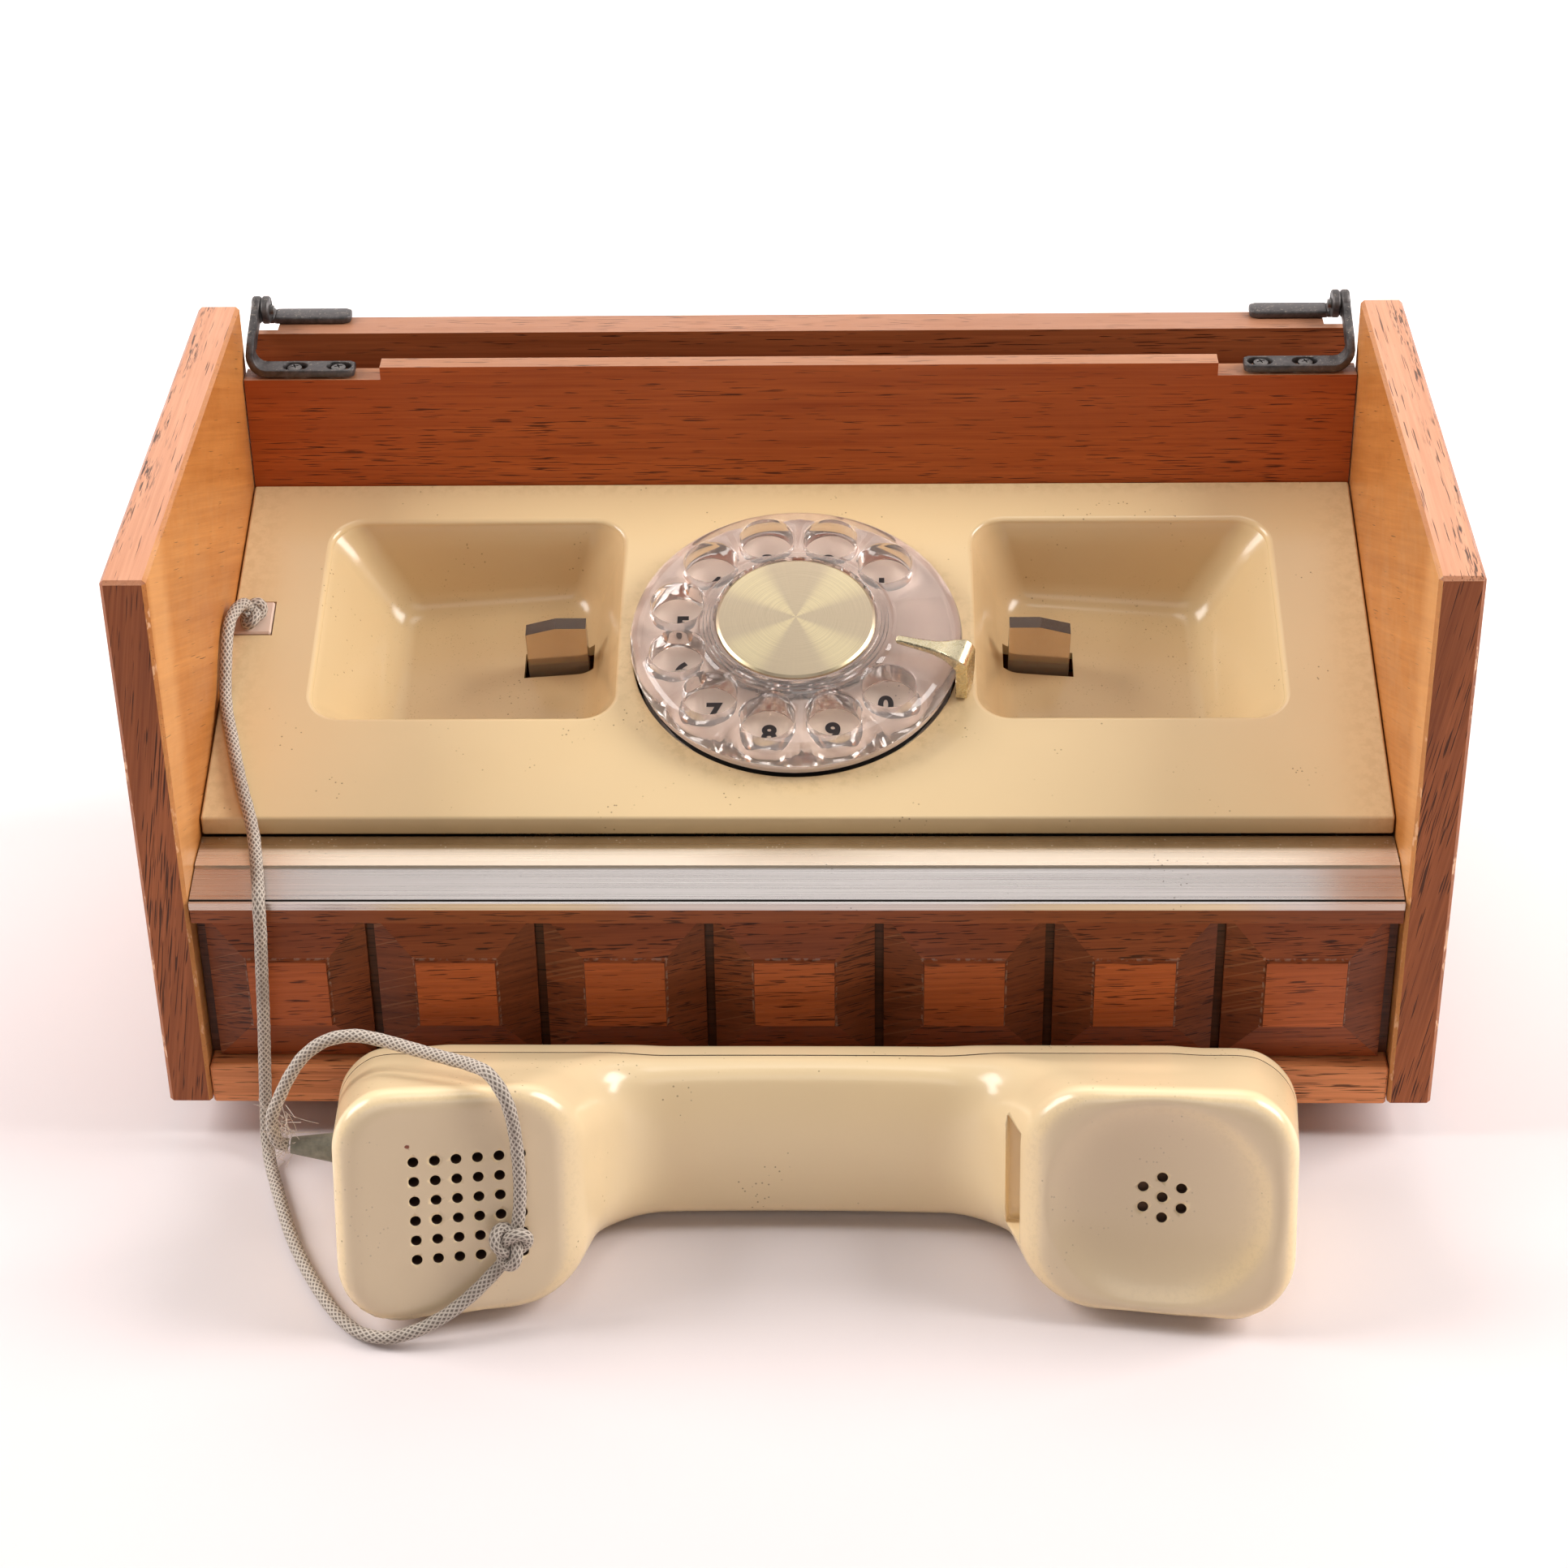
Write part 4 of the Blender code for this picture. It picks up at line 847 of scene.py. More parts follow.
def fray():
    """Loose pale threads where the braid has worn through above the strain relief."""
    chance = random.Random(11)
    curve = bpy.data.curves.new("frayed_threads", "CURVE")
    curve.dimensions = "3D"
    curve.bevel_depth = 0.00006
    curve.bevel_resolution = 1
    middle = Vector((-0.1105, FRONT_Y - 0.0300, 0.0255))
    for index in range(70):
        near_tip = index % 2 == 0
        start = middle + Vector((chance.gauss(0.0004, 0.0010), chance.gauss(0.0, 0.0010),
                                 chance.gauss(-0.0022 if near_tip else 0.0045, 0.0024)))
        heading = Vector((chance.uniform(-1.0, 0.75), chance.uniform(-0.9, 0.5),
                          chance.uniform(-0.8, 0.75))).normalized()
        reach = chance.uniform(0.0015, 0.0045 if near_tip else 0.0065)
        spline = curve.splines.new("POLY")
        spline.points.add(7)
        bend = Vector((chance.gauss(0, 1), chance.gauss(0, 1), chance.gauss(0, 1))) * 0.55
        for i, point in enumerate(spline.points):
            t = i / 7
            place = start + (heading * t + bend * t * t * 0.6) * reach
            place.z = max(place.z, 0.0008)
            point.co = (*place, 1.0)
    thread = solid("pale_thread", (0.60, 0.50, 0.42), 0.8, 900.0)
    curve.materials.append(thread)
    obj = bpy.data.objects.new("frayed_threads", curve)
    bpy.context.scene.collection.objects.link(obj)
    return obj


CORD = make_cord()


# ---- floor and light -------------------------------------------------------------------------
def floor():
    """A seamless sweep: level under the telephone, curving up a long way behind it."""
    rows = [(-2.2, 0.0), (0.9, 0.0)]
    rows += [(0.9 + 0.8 * math.sin(a), 0.8 - 0.8 * math.cos(a))
             for a in [math.pi / 2 * i / 12 for i in range(1, 13)]] + [(1.7, 2.6)]
    points = [(x, y, z) for y, z in rows for x in (-3.0, 3.0)]
    faces = [(2 * i, 2 * i + 1, 2 * i + 3, 2 * i + 2) for i in range(len(rows) - 1)]
    finish = Finish("paper", Specular_IOR_Level=0.25, Emission_Color=(1.0, 0.96, 0.955),
                    Emission_Strength=0.0)
    y = finish.axes(finish.object)[1]
    finish.put(finish.shader.inputs["Emission Strength"], finish.range(y, 0.1, 0.7, 0.0, 0.85))
    tone = finish.range(y, -0.25, 0.30)
    colour = finish.mix(tone, (0.75, 0.665, 0.66), (0.90, 0.86, 0.86))
    mottle = finish.noise(finish.object, 9.0, 4.0, 0.6)
    colour = finish.mix(finish.range(mottle, 0.3, 0.7, 0.0, 0.06), colour, (0.80, 0.72, 0.70))
    material = finish.done(colour, 0.55, finish.bump(finish.noise(finish.object, 900.0, 3.0),
                                                     0.00003, 0.15))
    obj = add_object("floor", mesh_from("floor", points, faces), None, [material])
    for polygon in obj.data.polygons:
        polygon.use_smooth = True


def area_light(name, place, aim, size, power, colour):
    data = bpy.data.lights.new(name, "AREA")
    data.shape = "RECTANGLE"
    data.size, data.size_y = size
    data.energy = power
    data.color = colour
    light = bpy.data.objects.new(name, data)
    heading = (Vector(aim) - Vector(place)).to_track_quat("-Z", "Y")
    light.matrix_world = Matrix.Translation(place) @ heading.to_matrix().to_4x4()
    bpy.context.scene.collection.objects.link(light)


def lights():
    bpy.context.scene.view_settings.view_transform = "Standard"
    world = bpy.data.worlds.new("studio")
    bpy.context.scene.world = world
    world.use_nodes = True
    back = world.node_tree.nodes["Background"]
    back.inputs["Color"].default_value = (1.0, 0.965, 0.95, 1.0)
    back.inputs["Strength"].default_value = 0.05
    warm, telephone = (1.0, 0.985, 0.975), (0.0, 0.0, 0.08)
    for name, place, aim, size, watts in (
            ("softbox_left", (-1.0, 0.05, 0.75), telephone, (0.6, 0.8), 14.8),
            ("softbox_right", (1.0, 0.05, 0.75), telephone, (0.6, 0.8), 17.2),
            ("key", (0.1, -0.05, 1.1), (0.0, 0.0, 0.05), (0.4, 0.4), 1.3),
            ("front", (0.0, -1.2, 0.9), telephone, (1.2, 0.6), 2.5),
            ("reflector", (0.0, 0.66, 1.1), telephone, (1.3, 0.6), 2.0)):
        area_light(name, place, aim, size, watts, warm)


floor()
lights()


# ---- wooden case -----------------------------------------------------------------------------
def dress(name, material, bevel=0.0, segments=2, angle=40.0):
    """A better material on a CAD node, and a small bevel where its edges show."""
    node = NODES[name]
    node.data.materials.clear()
    node.data.materials.append(material)
    if bevel:
        bevelled(node, bevel, segments, angle)


DARK_OAK = plain_wood("oak_shadow", ALONG_X, (0.045, 0.016, 0.008), (0.13, 0.045, 0.022), 0.6, 4)


def case():
    dress("side_panel_left", side_wood("oak_side_left", 1.0, 1.0))
    dress("side_panel_right", side_wood("oak_side_right", -1.0, 6.0))
    dress("back_panel", edged_wood(
        "oak_back_panel", ((0.33, 0.060, 0.010), (0.54, 0.125, 0.024), 0.6, 2.0, 1.2, 1.6),
        ((0.33, 0.135, 0.065), (0.45, 0.205, 0.105), 0.3, 5.0)), 0.0005)
    rail = plain_wood("oak_rail", ALONG_X, (0.50, 0.155, 0.052), (0.90, 0.35, 0.14), 0.7, 3.0)
    dress("front_rail_bottom", rail)
    dress("front_rail_top", plain_wood("oak_rail_top", ALONG_X, (0.19, 0.046, 0.012),
                                       (0.36, 0.095, 0.027), 0.7, 8.0), 0.0003)
    dress("block_backing_board", DARK_OAK)
    dress("base_board", plain_wood("oak_base", ALONG_X, (0.30, 0.13, 0.06), (0.52, 0.26, 0.13),
                                   0.4, 9.0), 0.0004)
    blocks = block_wood("oak_blocks", 1.0)
    for index in range(1, 8):
        dress("raised_block_%d" % index, blocks, 0.00022, 2, 12.0)
    dress("metal_trim", trim_metal(), 0.00015, 1, 30.0)
    rubber = solid("foot_rubber", (0.035, 0.033, 0.032), 0.75, 800.0)
    for index in range(1, 5):
        dress("rubber_foot_%d" % index, rubber, 0.0006)
    lid = edged_wood("oak_lid_board", ((0.24, 0.062, 0.018), (0.48, 0.15, 0.05), 0.4, 7.0, 1.1),
                     ((0.33, 0.14, 0.075), (0.46, 0.215, 0.12), 0.45, 4.0))
    dress("lid_top_board", lid, 0.0006)
    dress("lid_front_board", lid, 0.0005)
    rows = block_wood("oak_lid_blocks", 5.0, lid=True)
    dress("lid_block_row_lower", rows, 0.0002, 1, 12.0)
    dress("lid_block_row_upper", rows, 0.0002, 1, 12.0)


case()


# ---- faceplate -------------------------------------------------------------------------------
RIM_FILLET = 0.0013
FOOT_FILLET = 0.0042


def recess_rings(side, grow, top):
    """Rings of a recess from its flared rim to the middle of its tilted floor."""
    def ring(share, inset, down):
        inner_x = lerp(RECESS_X[0], RECESS_FLOOR_X[0], share) - grow + inset
        outer_x = lerp(RECESS_X[1], RECESS_FLOOR_X[1], share) + grow - inset
        low_s = lerp(RECESS_S[0], RECESS_FLOOR_S[0], share) - grow + inset
        high_s = lerp(RECESS_S[1], RECESS_FLOOR_S[1], share) + grow - inset
        radius = max(0.0075 - 0.0005 * share + grow - inset, 0.0022)
        points = rounded_rectangle(span(side, inner_x, outer_x), (low_s, high_s), radius)
        found = []
        for px, ps in points:
            along = (abs(px) - RECESS_FLOOR_X[0]) / (RECESS_FLOOR_X[1] - RECESS_FLOOR_X[0])
            depth = lerp(RECESS_DEPTH[0], RECESS_DEPTH[1], min(max(along, -0.1), 1.2))
            found.append((px, ps, -down * (depth + grow) if down > 0 else -down))
        return found

    rings = []
    if grow:
        rings.append(ring(0.0, 0.0, 0.02))
    else:
        rings.append(ring(0.0, -RIM_FILLET, -top))
        for step in range(6):
            angle = math.pi / 2 * step / 5
            flare = RIM_FILLET * (1 - math.sin(angle))
            rings.append(ring(0.0, -flare, max(RIM_FILLET * (1 - math.cos(angle)) / 0.021, 1e-6)))
    for step in range(1, 6):
        share = 0.07 + 0.70 * step / 5
        rings.append(ring(share, 0.0, share))
    for step in range(1, 8):
        t = step / 7
        share = (1 - t) ** 2 * 0.77 + 2 * t * (1 - t) + t * t
        rings.append(ring(share, t * t * FOOT_FILLET, share))
    return rings


def faceplate():
    section = [(PLATE_FRONT, 0.0689), (PLATE_FRONT, PLATE_FRONT_Z), (PLATE_BACK, PLATE_BACK_Z),
               (PLATE_BACK, PLATE_BACK_Z - 0.00312), (PLATE_FRONT + 0.003, 0.0712),
               (PLATE_FRONT + 0.003, 0.0689)]
    back = PLATE.inverted()
    local = [back @ Vector((0.0, FRONT_Y + y, z)) for y, z in section]
    rings = [[(x, p.y, p.z) for p in local] for x in (-FIT_X, FIT_X)]
    plastic = plate_ivory()
    plate = loft("faceplate_moulding", rings, PLATE, [plastic])
    bevelled(plate, 0.0006, 3, 50.0).modifiers[0].harden_normals = False
    settle(plate)
    for side in (-1, 1):
        boolean(plate, loft("shell", recess_rings(side, 0.0022, 0.0), PLATE), "UNION")
    for side in (-1, 1):
        boolean(plate, loft("hollow", recess_rings(side, 0.0, 0.003), PLATE))
        boolean(plate, block("slot", span(side, 0.0484, 0.0651), (0.0590, 0.0666), (-0.04, -0.012),
                             PLATE))
    rim = 0.0377
    boolean(plate, turned("opening", [(0.0, 0.004), (rim + 0.0006, 0.004), (rim + 0.0006, 0.0),
                                      (rim + 0.0002, -0.0002), (rim, -0.0007), (rim, -0.008),
                                      (0.0, -0.008)], DIAL, steps=128))
    boolean(plate, block("notch", (-0.14, -0.1223), (0.0547, 0.0653), (-0.01, 0.01), PLATE))
    weighted(shade(plate, 32.0))
    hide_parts("faceplate")
    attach(plate, "cabinet")
    dress("cord_insert", small_ivory("insert_ivory", (0.74, 0.55, 0.44)), 0.0003)
    tab = smoky_plastic()
    for side in (-1, 1):
        dress("plunger_" + side_name(side), tab, 0.0003, 2, 20.0)


faceplate()


# ---- dial ------------------------------------------------------------------------------------
def at_hole(index, circle, drop=0.0, height=0.0):
    """Where a finger hole's axis, or its numeral, stands on the dial."""
    angle = math.radians(FIRST_HOLE_DEG + HOLE_PITCH_DEG * index)
    return DIAL @ Matrix.Translation((math.cos(angle) * circle, math.sin(angle) * circle - drop,
                                      height))


def digits():
    """Plain numerals on the ring, one below each finger hole."""
    ink = solid("numeral_ink", (0.045, 0.036, 0.038), 0.45, 1500.0)
    for index in range(10):
        curve = bpy.data.curves.new("numeral", "FONT")
        curve.body = str((index + 1) % 10)
        curve.align_x, curve.align_y = "CENTER", "CENTER"
        curve.size = NUMERAL_SIZE
        curve.offset = 0.00028
        curve.extrude = 0.00004
        holder = bpy.data.objects.new("holder", curve)
        bpy.context.scene.collection.objects.link(holder)
        graph = bpy.context.evaluated_depsgraph_get()
        mesh = bpy.data.meshes.new_from_object(holder.evaluated_get(graph))
        bpy.data.objects.remove(holder)
        place = at_hole(index, NUMERAL_CIRCLE, NUMERAL_DROP, 0.00186)
        piece = add_object("numeral_%d" % ((index + 1) % 10), mesh, place, [ink])
        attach(piece, "cabinet")


def dial():
    under = solid("dial_shadow", (0.03, 0.026, 0.024), 0.6, 500.0)
    plastic = small_ivory("number_ring_ivory", (0.93, 0.77, 0.66))
    ring = turned("number_ring", [(0.0168, 0.0018), (0.0368, 0.0018), (0.0371, 0.0015),
                                  (0.0371, 0.0003), (0.0168, 0.0003)], DIAL, [plastic], ring=True)
    base = turned("dial_floor", [(0.0, -0.0042), (0.0366, -0.0042), (0.0366, -0.0052),
                                 (0.0, -0.0052)], DIAL, [plastic])
    steel = metal("spider_steel", (0.55, 0.52, 0.49), 0.3)
    rings = []
    for height in (-0.0036, -0.0008):
        outline = []
        for lug in range(3):
            middle = math.radians(-90 + 120 * lug)
            for offset, reach in ((-46, 0.0085), (-22, 0.0085), (-17, 0.0165), (17, 0.0165),
                                  (22, 0.0085), (46, 0.0085)):
                a = middle + math.radians(offset)
                outline.append((reach * math.cos(a), reach * math.sin(a), height))
        rings.append(outline)
    spider = bevelled(loft("dial_spider", rings, DIAL, [steel]), 0.0003)
    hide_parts("number_plate")
    for piece, slot, body in ((ring, "ivory", "cabinet"), (base, "black_steel", "cabinet"),
                              (spider, "steel", "cabinet")):
        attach(piece, body)
    digits()
    wheel = turned("clear_finger_wheel",
                   [(0.0, 0.0098), (0.0187, 0.0098), (0.0188, 0.0110), (0.0190, 0.0112),
                    (0.0195, 0.0112), (0.0197, 0.0107), (0.0203, 0.0107), (0.0205, 0.0103),
                    (0.0211, 0.0103), (0.0213, 0.0098), (0.0220, 0.0097), (0.0226, 0.0091),
                    (0.0235, 0.0088), (0.0345, 0.0086), (0.0362, 0.0080), (0.0375, 0.0068),
                    (0.0381, 0.0052), (0.0381, 0.0036), (0.0376, 0.0029), (0.0370, 0.0028),
                    (0.0, 0.0028)], DIAL, [clear_plastic()], steps=144, angle=25.0)
    flare = 0.0006
    for index in range(10):
        place = at_hole(index, HOLE_CIRCLE)
        r = HOLE_RADIUS
        boolean(wheel, turned("hole", [(0.0, 0.012), (r + flare, 0.012), (r + flare, 0.0088),
                                       (r + flare * 0.45, 0.0086), (r + flare * 0.1, 0.0083),
                                       (r, 0.0079), (r, 0.0036), (r + flare * 0.3, 0.0030),
                                       (r + flare, 0.0028), (r + flare, 0.001), (0.0, 0.001)],
                              place, steps=48))
    shade(wheel, 28.0)
    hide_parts("finger_wheel")
    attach(wheel, "dial")
    cap = turned("brushed_dial_cap", [(0.0, 0.01135), (0.0160, 0.0113), (0.0176, 0.0112),
                                      (0.0182, 0.0108), (0.0183, 0.0102), (0.0180, 0.0101),
                                      (0.0, 0.0101)], DIAL, [brushed_cap()])
    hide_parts("dial_cap")
    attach(cap, "dial")
    stop = finger_stop()
    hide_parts("finger_stop")
    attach(stop, "cabinet")
    brass = metal("gear_brass", (0.72, 0.52, 0.24), 0.3, (0.4, 0.28, 0.14))
    dress("dial_housing", under)
    dress("dial_shaft", metal("shaft_steel", (0.6, 0.58, 0.55), 0.28))
    dress("main_gear", brass)
    dress("governor_rotor", brass)


def finger_stop():
    """Narrow tip over the wheel, a broad root, and a leg down to the faceplate."""
    place = DIAL @ Matrix.Rotation(math.radians(STOP_DEG), 4, "Z")
    outer = [(0.0238, 0.0122, 0.6), (0.0244, 0.0125, 1.05), (0.0270, 0.0126, 1.2),
             (0.0300, 0.0127, 1.4), (0.0330, 0.0129, 1.7), (0.0354, 0.0132, 2.3),
             (0.0374, 0.0136, 3.2), (0.0396, 0.0135, 4.0), (0.0411, 0.0126, 4.0),
             (0.0418, 0.0112, 3.8), (0.0419, 0.0060, 3.4), (0.0417, 0.0003, 3.2)]
    inner = [(0.0241, 0.0117), (0.0246, 0.0114), (0.0270, 0.0114), (0.0300, 0.0114),
             (0.0330, 0.0114), (0.0352, 0.0114), (0.0372, 0.0113), (0.0386, 0.0112),
             (0.0390, 0.0108), (0.0391, 0.0100), (0.0391, 0.0055), (0.0391, 0.0003)]
    rings = []
    for (r1, h1, half), (r2, h2) in zip(outer, inner):
        half *= MM
        rings.append([(r1, -half * 0.86, h1), (r1, half * 0.86, h1), (r2, half, h2),
                      (r2, -half, h2)])
    stop = loft("gold_finger_stop", rings, place, [gold()], angle=50.0)
    return weighted(bevelled(stop, 0.0003, 2, 38.0))


dial()


# ---- hinges ----------------------------------------------------------------------------------
HINGE_BLACK = black_steel()


def strap(name, stations, thickness):
    """A flat bar through (centre, across, out, half width) stations."""
    rings = []
    for centre, across, out, half in stations:
        centre, across, out = Vector(centre), Vector(across).normalized(), Vector(out).normalized()
        rings.append([centre + across * a * half + out * b * thickness / 2
                      for a, b in ((-1, -1), (1, -1), (1, 1), (-1, 1))])
    return loft(name, rings, None, [HINGE_BLACK], angle=40.0)


def merge(target, *others):
    """Join closed shells into one piece."""
    shape = bmesh.new()
    shape.from_mesh(target.data)
    for other in others:
        settle(other)
        other.data.transform(target.matrix_world.inverted() @ other.matrix_world)
        shape.from_mesh(other.data)
        bpy.data.objects.remove(other)
    shape.to_mesh(target.data)
    shape.free()
    return shade(target, 40.0)


def eye(name, x, half):
    place = Matrix.Translation((x, FRONT_Y + HINGE_Y, HINGE_Z)) @ Matrix.Rotation(math.pi / 2, 4,
                                                                                  "Y")
    profile = [(0.0013, -half), (0.0031, -half), (0.0034, -half * 0.6), (0.0034, half * 0.6),
               (0.0031, half), (0.0013, half)]
    return turned(name, profile, place, [HINGE_BLACK], steps=36, ring=True)


def screw(name, x, y, z, material):
    """A flat Phillips head, sunk a little in its slot."""
    place = Matrix.Translation((x, y, z))
    head = turned(name, [(0.0, 0.0004), (0.0012, 0.00035), (0.0017, 0.0001), (0.0018, -0.0004),
                         (0.0, -0.0004)], place, [material], steps=28)
    for turn in (0.35, 0.35 + math.pi / 2):
        boolean(head, block("cross", (-0.0010, 0.0010), (-0.00018, 0.00018), (-0.00005, 0.002),
                            place @ Matrix.Rotation(turn, 4, "Z")))
    return shade(head, 30.0)


def oval(name, x, y, z_span, reach, radius):
    """An upright oval cutter for a screw slot."""
    rings = []
    for z in z_span:
        ring = []
        for centre, start in ((x + reach, -90), (x - reach, 90)):
            for step in range(9):
                a = math.radians(start + 180 * step / 8)
                ring.append((centre + radius * math.cos(a), y + radius * math.sin(a), z))
        rings.append(ring)
    return loft(name, rings)


def fixed_hinge(side):
    label = side_name(side)
    top, thick = 0.1328, 0.0019
    z = top - thick / 2
    y = FRONT_Y + 0.1241
    x_eye = side * 0.13065
    width = (0, 1, 0)
    stations = [((side * 0.1056, y, z), width, (0, 0, 1), 0.0016),
                ((side * 0.1060, y, z), width, (0, 0, 1), 0.0022),
                ((side * 0.1070, y, z), width, (0, 0, 1), 0.0027),
                ((side * 0.1268, y, z), width, (0, 0, 1), 0.0027)]
    radius = 0.0035
    for step in range(1, 7):
        a = math.pi / 2 * step / 6
        centre = (side * (0.1272 + radius * math.sin(a)), y + 0.0003 * step,
                  z + radius * (1 - math.cos(a)))
        stations.append((centre, width, (side * -math.sin(a), 0, math.cos(a)),
                         0.0027 - 0.00008 * step))
    lean = Vector((0.0, 0.0105, 0.0058)).normalized()
    for y_off, up, half in ((0.1282, 0.1362, 0.0021), (0.1318, 0.1378, 0.0019),
                            (0.1358, 0.1391, 0.0021), (0.1380, 0.1397, 0.0024)):
        stations.append(((side * 0.1307, FRONT_Y + y_off, up), (0.0, lean.z, -lean.y),
                         (-side, 0, 0), half))
    arm = strap("hinge_leaf_" + label, stations, thick)
    for x in (0.1100, 0.1205):
        boolean(arm, oval("slot", side * (x - 0.0006), y, (z - 0.002, z + 0.002), 0.0012,
                          0.00175))
    bevelled(arm, 0.00035, 2, 50.0).modifiers[0].harden_normals = False
    settle(arm)
    merge(arm, eye("eye", x_eye, 0.00095))
    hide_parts("hinge_bracket_" + label)
    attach(arm, "cabinet")
    head = metal("screw_" + label, (0.16, 0.15, 0.145), 0.4, (0.3, 0.27, 0.24), 0.5)
    for index, x in enumerate((0.1096, 0.1201)):
        piece = screw("screw_%s_%d" % (label, index + 1), side * x, y, top - 0.0005, head)
        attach(piece, "cabinet")


def lid_hinge(side):
    label = side_name(side)
    thick = 0.0018
    stations = []
    # The leaf lies on the lid's rear edge, which faces up while the lid hangs open.
    arm_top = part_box("lid_top_board")[1].z + 0.0019
    y = FRONT_Y + 0.1440
    across = (0, 1, 0)
    for x, half in ((0.1086, 0.0014), (0.1090, 0.0021), (0.1102, 0.0027), (0.1258, 0.0027),
                    (0.1272, 0.0026)):
        stations.append(((side * x, y, arm_top - thick / 2), across, (0, 0, 1), half))
    arm = strap("lid_leaf_" + label, stations, thick)
    bevelled(arm, 0.0004, 2, 50.0).modifiers[0].harden_normals = False
    settle(arm)
    link = strap("link", [((side * 0.1284, FRONT_Y + 0.1466, arm_top - 0.0012), (0, 0, 1),
                           (-side, 0, 0), 0.0013),
                          ((side * 0.1284, FRONT_Y + 0.1440, arm_top - 0.0004), (0, 0, 1),
                           (-side, 0, 0), 0.0017),
                          ((side * 0.1284, FRONT_Y + 0.1412, HINGE_Z - 0.0004), (0, 0, 1),
                           (-side, 0, 0), 0.0022)], thick)
    bend = block("bend", span(side, 0.1268, 0.1293), (y - 0.0026, y + 0.0026),
                 (arm_top - thick, arm_top), None, [HINGE_BLACK], 0.0006)
    merge(arm, link, bend, eye("eye", side * 0.1284, 0.0009))
    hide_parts("lid_bracket_" + label)
    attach(arm, "lid")
    dress("hinge_pin_" + label, metal("pin_" + label, (0.2, 0.19, 0.18), 0.35), 0.0002)


for hinge_side in (-1, 1):
    fixed_hinge(hinge_side)
    lid_hinge(hinge_side)


# ---- handset ---------------------------------------------------------------------------------
def rounded_max(a, b, radius):
    """The meeting of two solids with its edge rounded to that radius."""
    outside = np.hypot(np.maximum(a + radius, 0.0), np.maximum(b + radius, 0.0))
    return np.minimum(np.maximum(a, b), -radius) + outside


def smooth_min(a, b, reach):
    share = np.maximum(reach - np.abs(a - b), 0.0) / reach
    return np.minimum(a, b) - share * share * reach / 4


def cup(x, depth, up, inner, outer, face, half_up, corner):
    """One cup in millimetres: flared sides, a canted face and rounded edges."""
    inside = inner[0] + inner[1] * depth
    outside = outer[0] + outer[1] * depth
    middle, half = (inside + outside) / 2, np.abs(outside - inside) / 2
    tall = half_up - 0.224 * np.minimum(depth, 36.0) - 0.12 * np.maximum(depth - 36.0, 0.0)
    a = np.abs(x - middle) - half + corner
    b = np.abs(up) - tall + corner
    flat = np.hypot(np.maximum(a, 0.0), np.maximum(b, 0.0)) + np.minimum(np.maximum(a, b), 0.0)
    flat = flat - corner
    front = face[0] + face[1] * x - depth
    body = rounded_max(flat, front, 4.6)
    return rounded_max(body, depth - 46.0, 5.5)


def handset_shape(points):
    """Signed distance, in millimetres, to the whole handset in its own frame."""
    x, depth, up = points[:, 0], points[:, 1], points[:, 2]
    mouth = cup(x, depth, up + 0.4, (-46.3, 0.30), (-95.6, -0.12), MOUTH_FACE, 27.0, 14.0)
    ear = cup(x, depth, up + 0.2, (50.3, -0.30), (105.0, 0.12), EAR_FACE, 26.8, 15.0)
    side = np.abs(up) - 18.3 + 0.0002 * x * x
    front = 29.2 - (x / 30.0) ** 2 + 2.0 * (up / 18.3) ** 2 - depth
    handle = rounded_max(rounded_max(side, front, 4.2), depth - 46.0, 5.0)
    handle = rounded_max(handle, np.abs(x - 3.0) - 76.0, 3.0)
    body = smooth_min(np.minimum(mouth, ear), handle, 12.0)
    sides = 26.9 - 0.224 * np.minimum(depth, 36.0) - 0.12 * np.maximum(depth - 36.0, 0.0)
    body = rounded_max(body, np.abs(up + 0.3) - sides, 1.5)
    body = rounded_max(body, depth - 46.0, 5.0)
    return rounded_max(body, -ear_dish(x, depth, up), 1.2)


def ear_dish(x, depth, up):
    """Signed distance to the flattened ball that hollows the canted earpiece face."""
    cant, middle = math.atan(EAR_FACE[1]), 77.0
    across, into = x - middle, depth - (EAR_FACE[0] + EAR_FACE[1] * middle)
    u = across * math.cos(cant) + into * math.sin(cant)
    w = into * math.cos(cant) - across * math.sin(cant) + 1.7
    wide, deep = 24.2, 6.6
    near = np.sqrt((u / wide) ** 2 + (up / wide) ** 2 + (w / deep) ** 2)
    steep = np.sqrt((u / wide ** 2) ** 2 + (up / wide ** 2) ** 2 + (w / deep ** 2) ** 2)
    return near * (near - 1.0) / np.maximum(steep, 1e-6)


def slope(points, step=0.05):
    result = np.zeros_like(points)
    for axis in range(3):
        offset = np.zeros(3)
        offset[axis] = step
        result[:, axis] = (handset_shape(points + offset)
                           - handset_shape(points - offset)) / (2 * step)
    return result


def project(points, rounds):
    for _ in range(rounds):
        gradient = slope(points)
        size = np.maximum((gradient ** 2).sum(1, keepdims=True), 0.05)
        step = handset_shape(points)[:, None] * gradient / size
        points = points - np.clip(step, -2.5, 2.5)
    return points


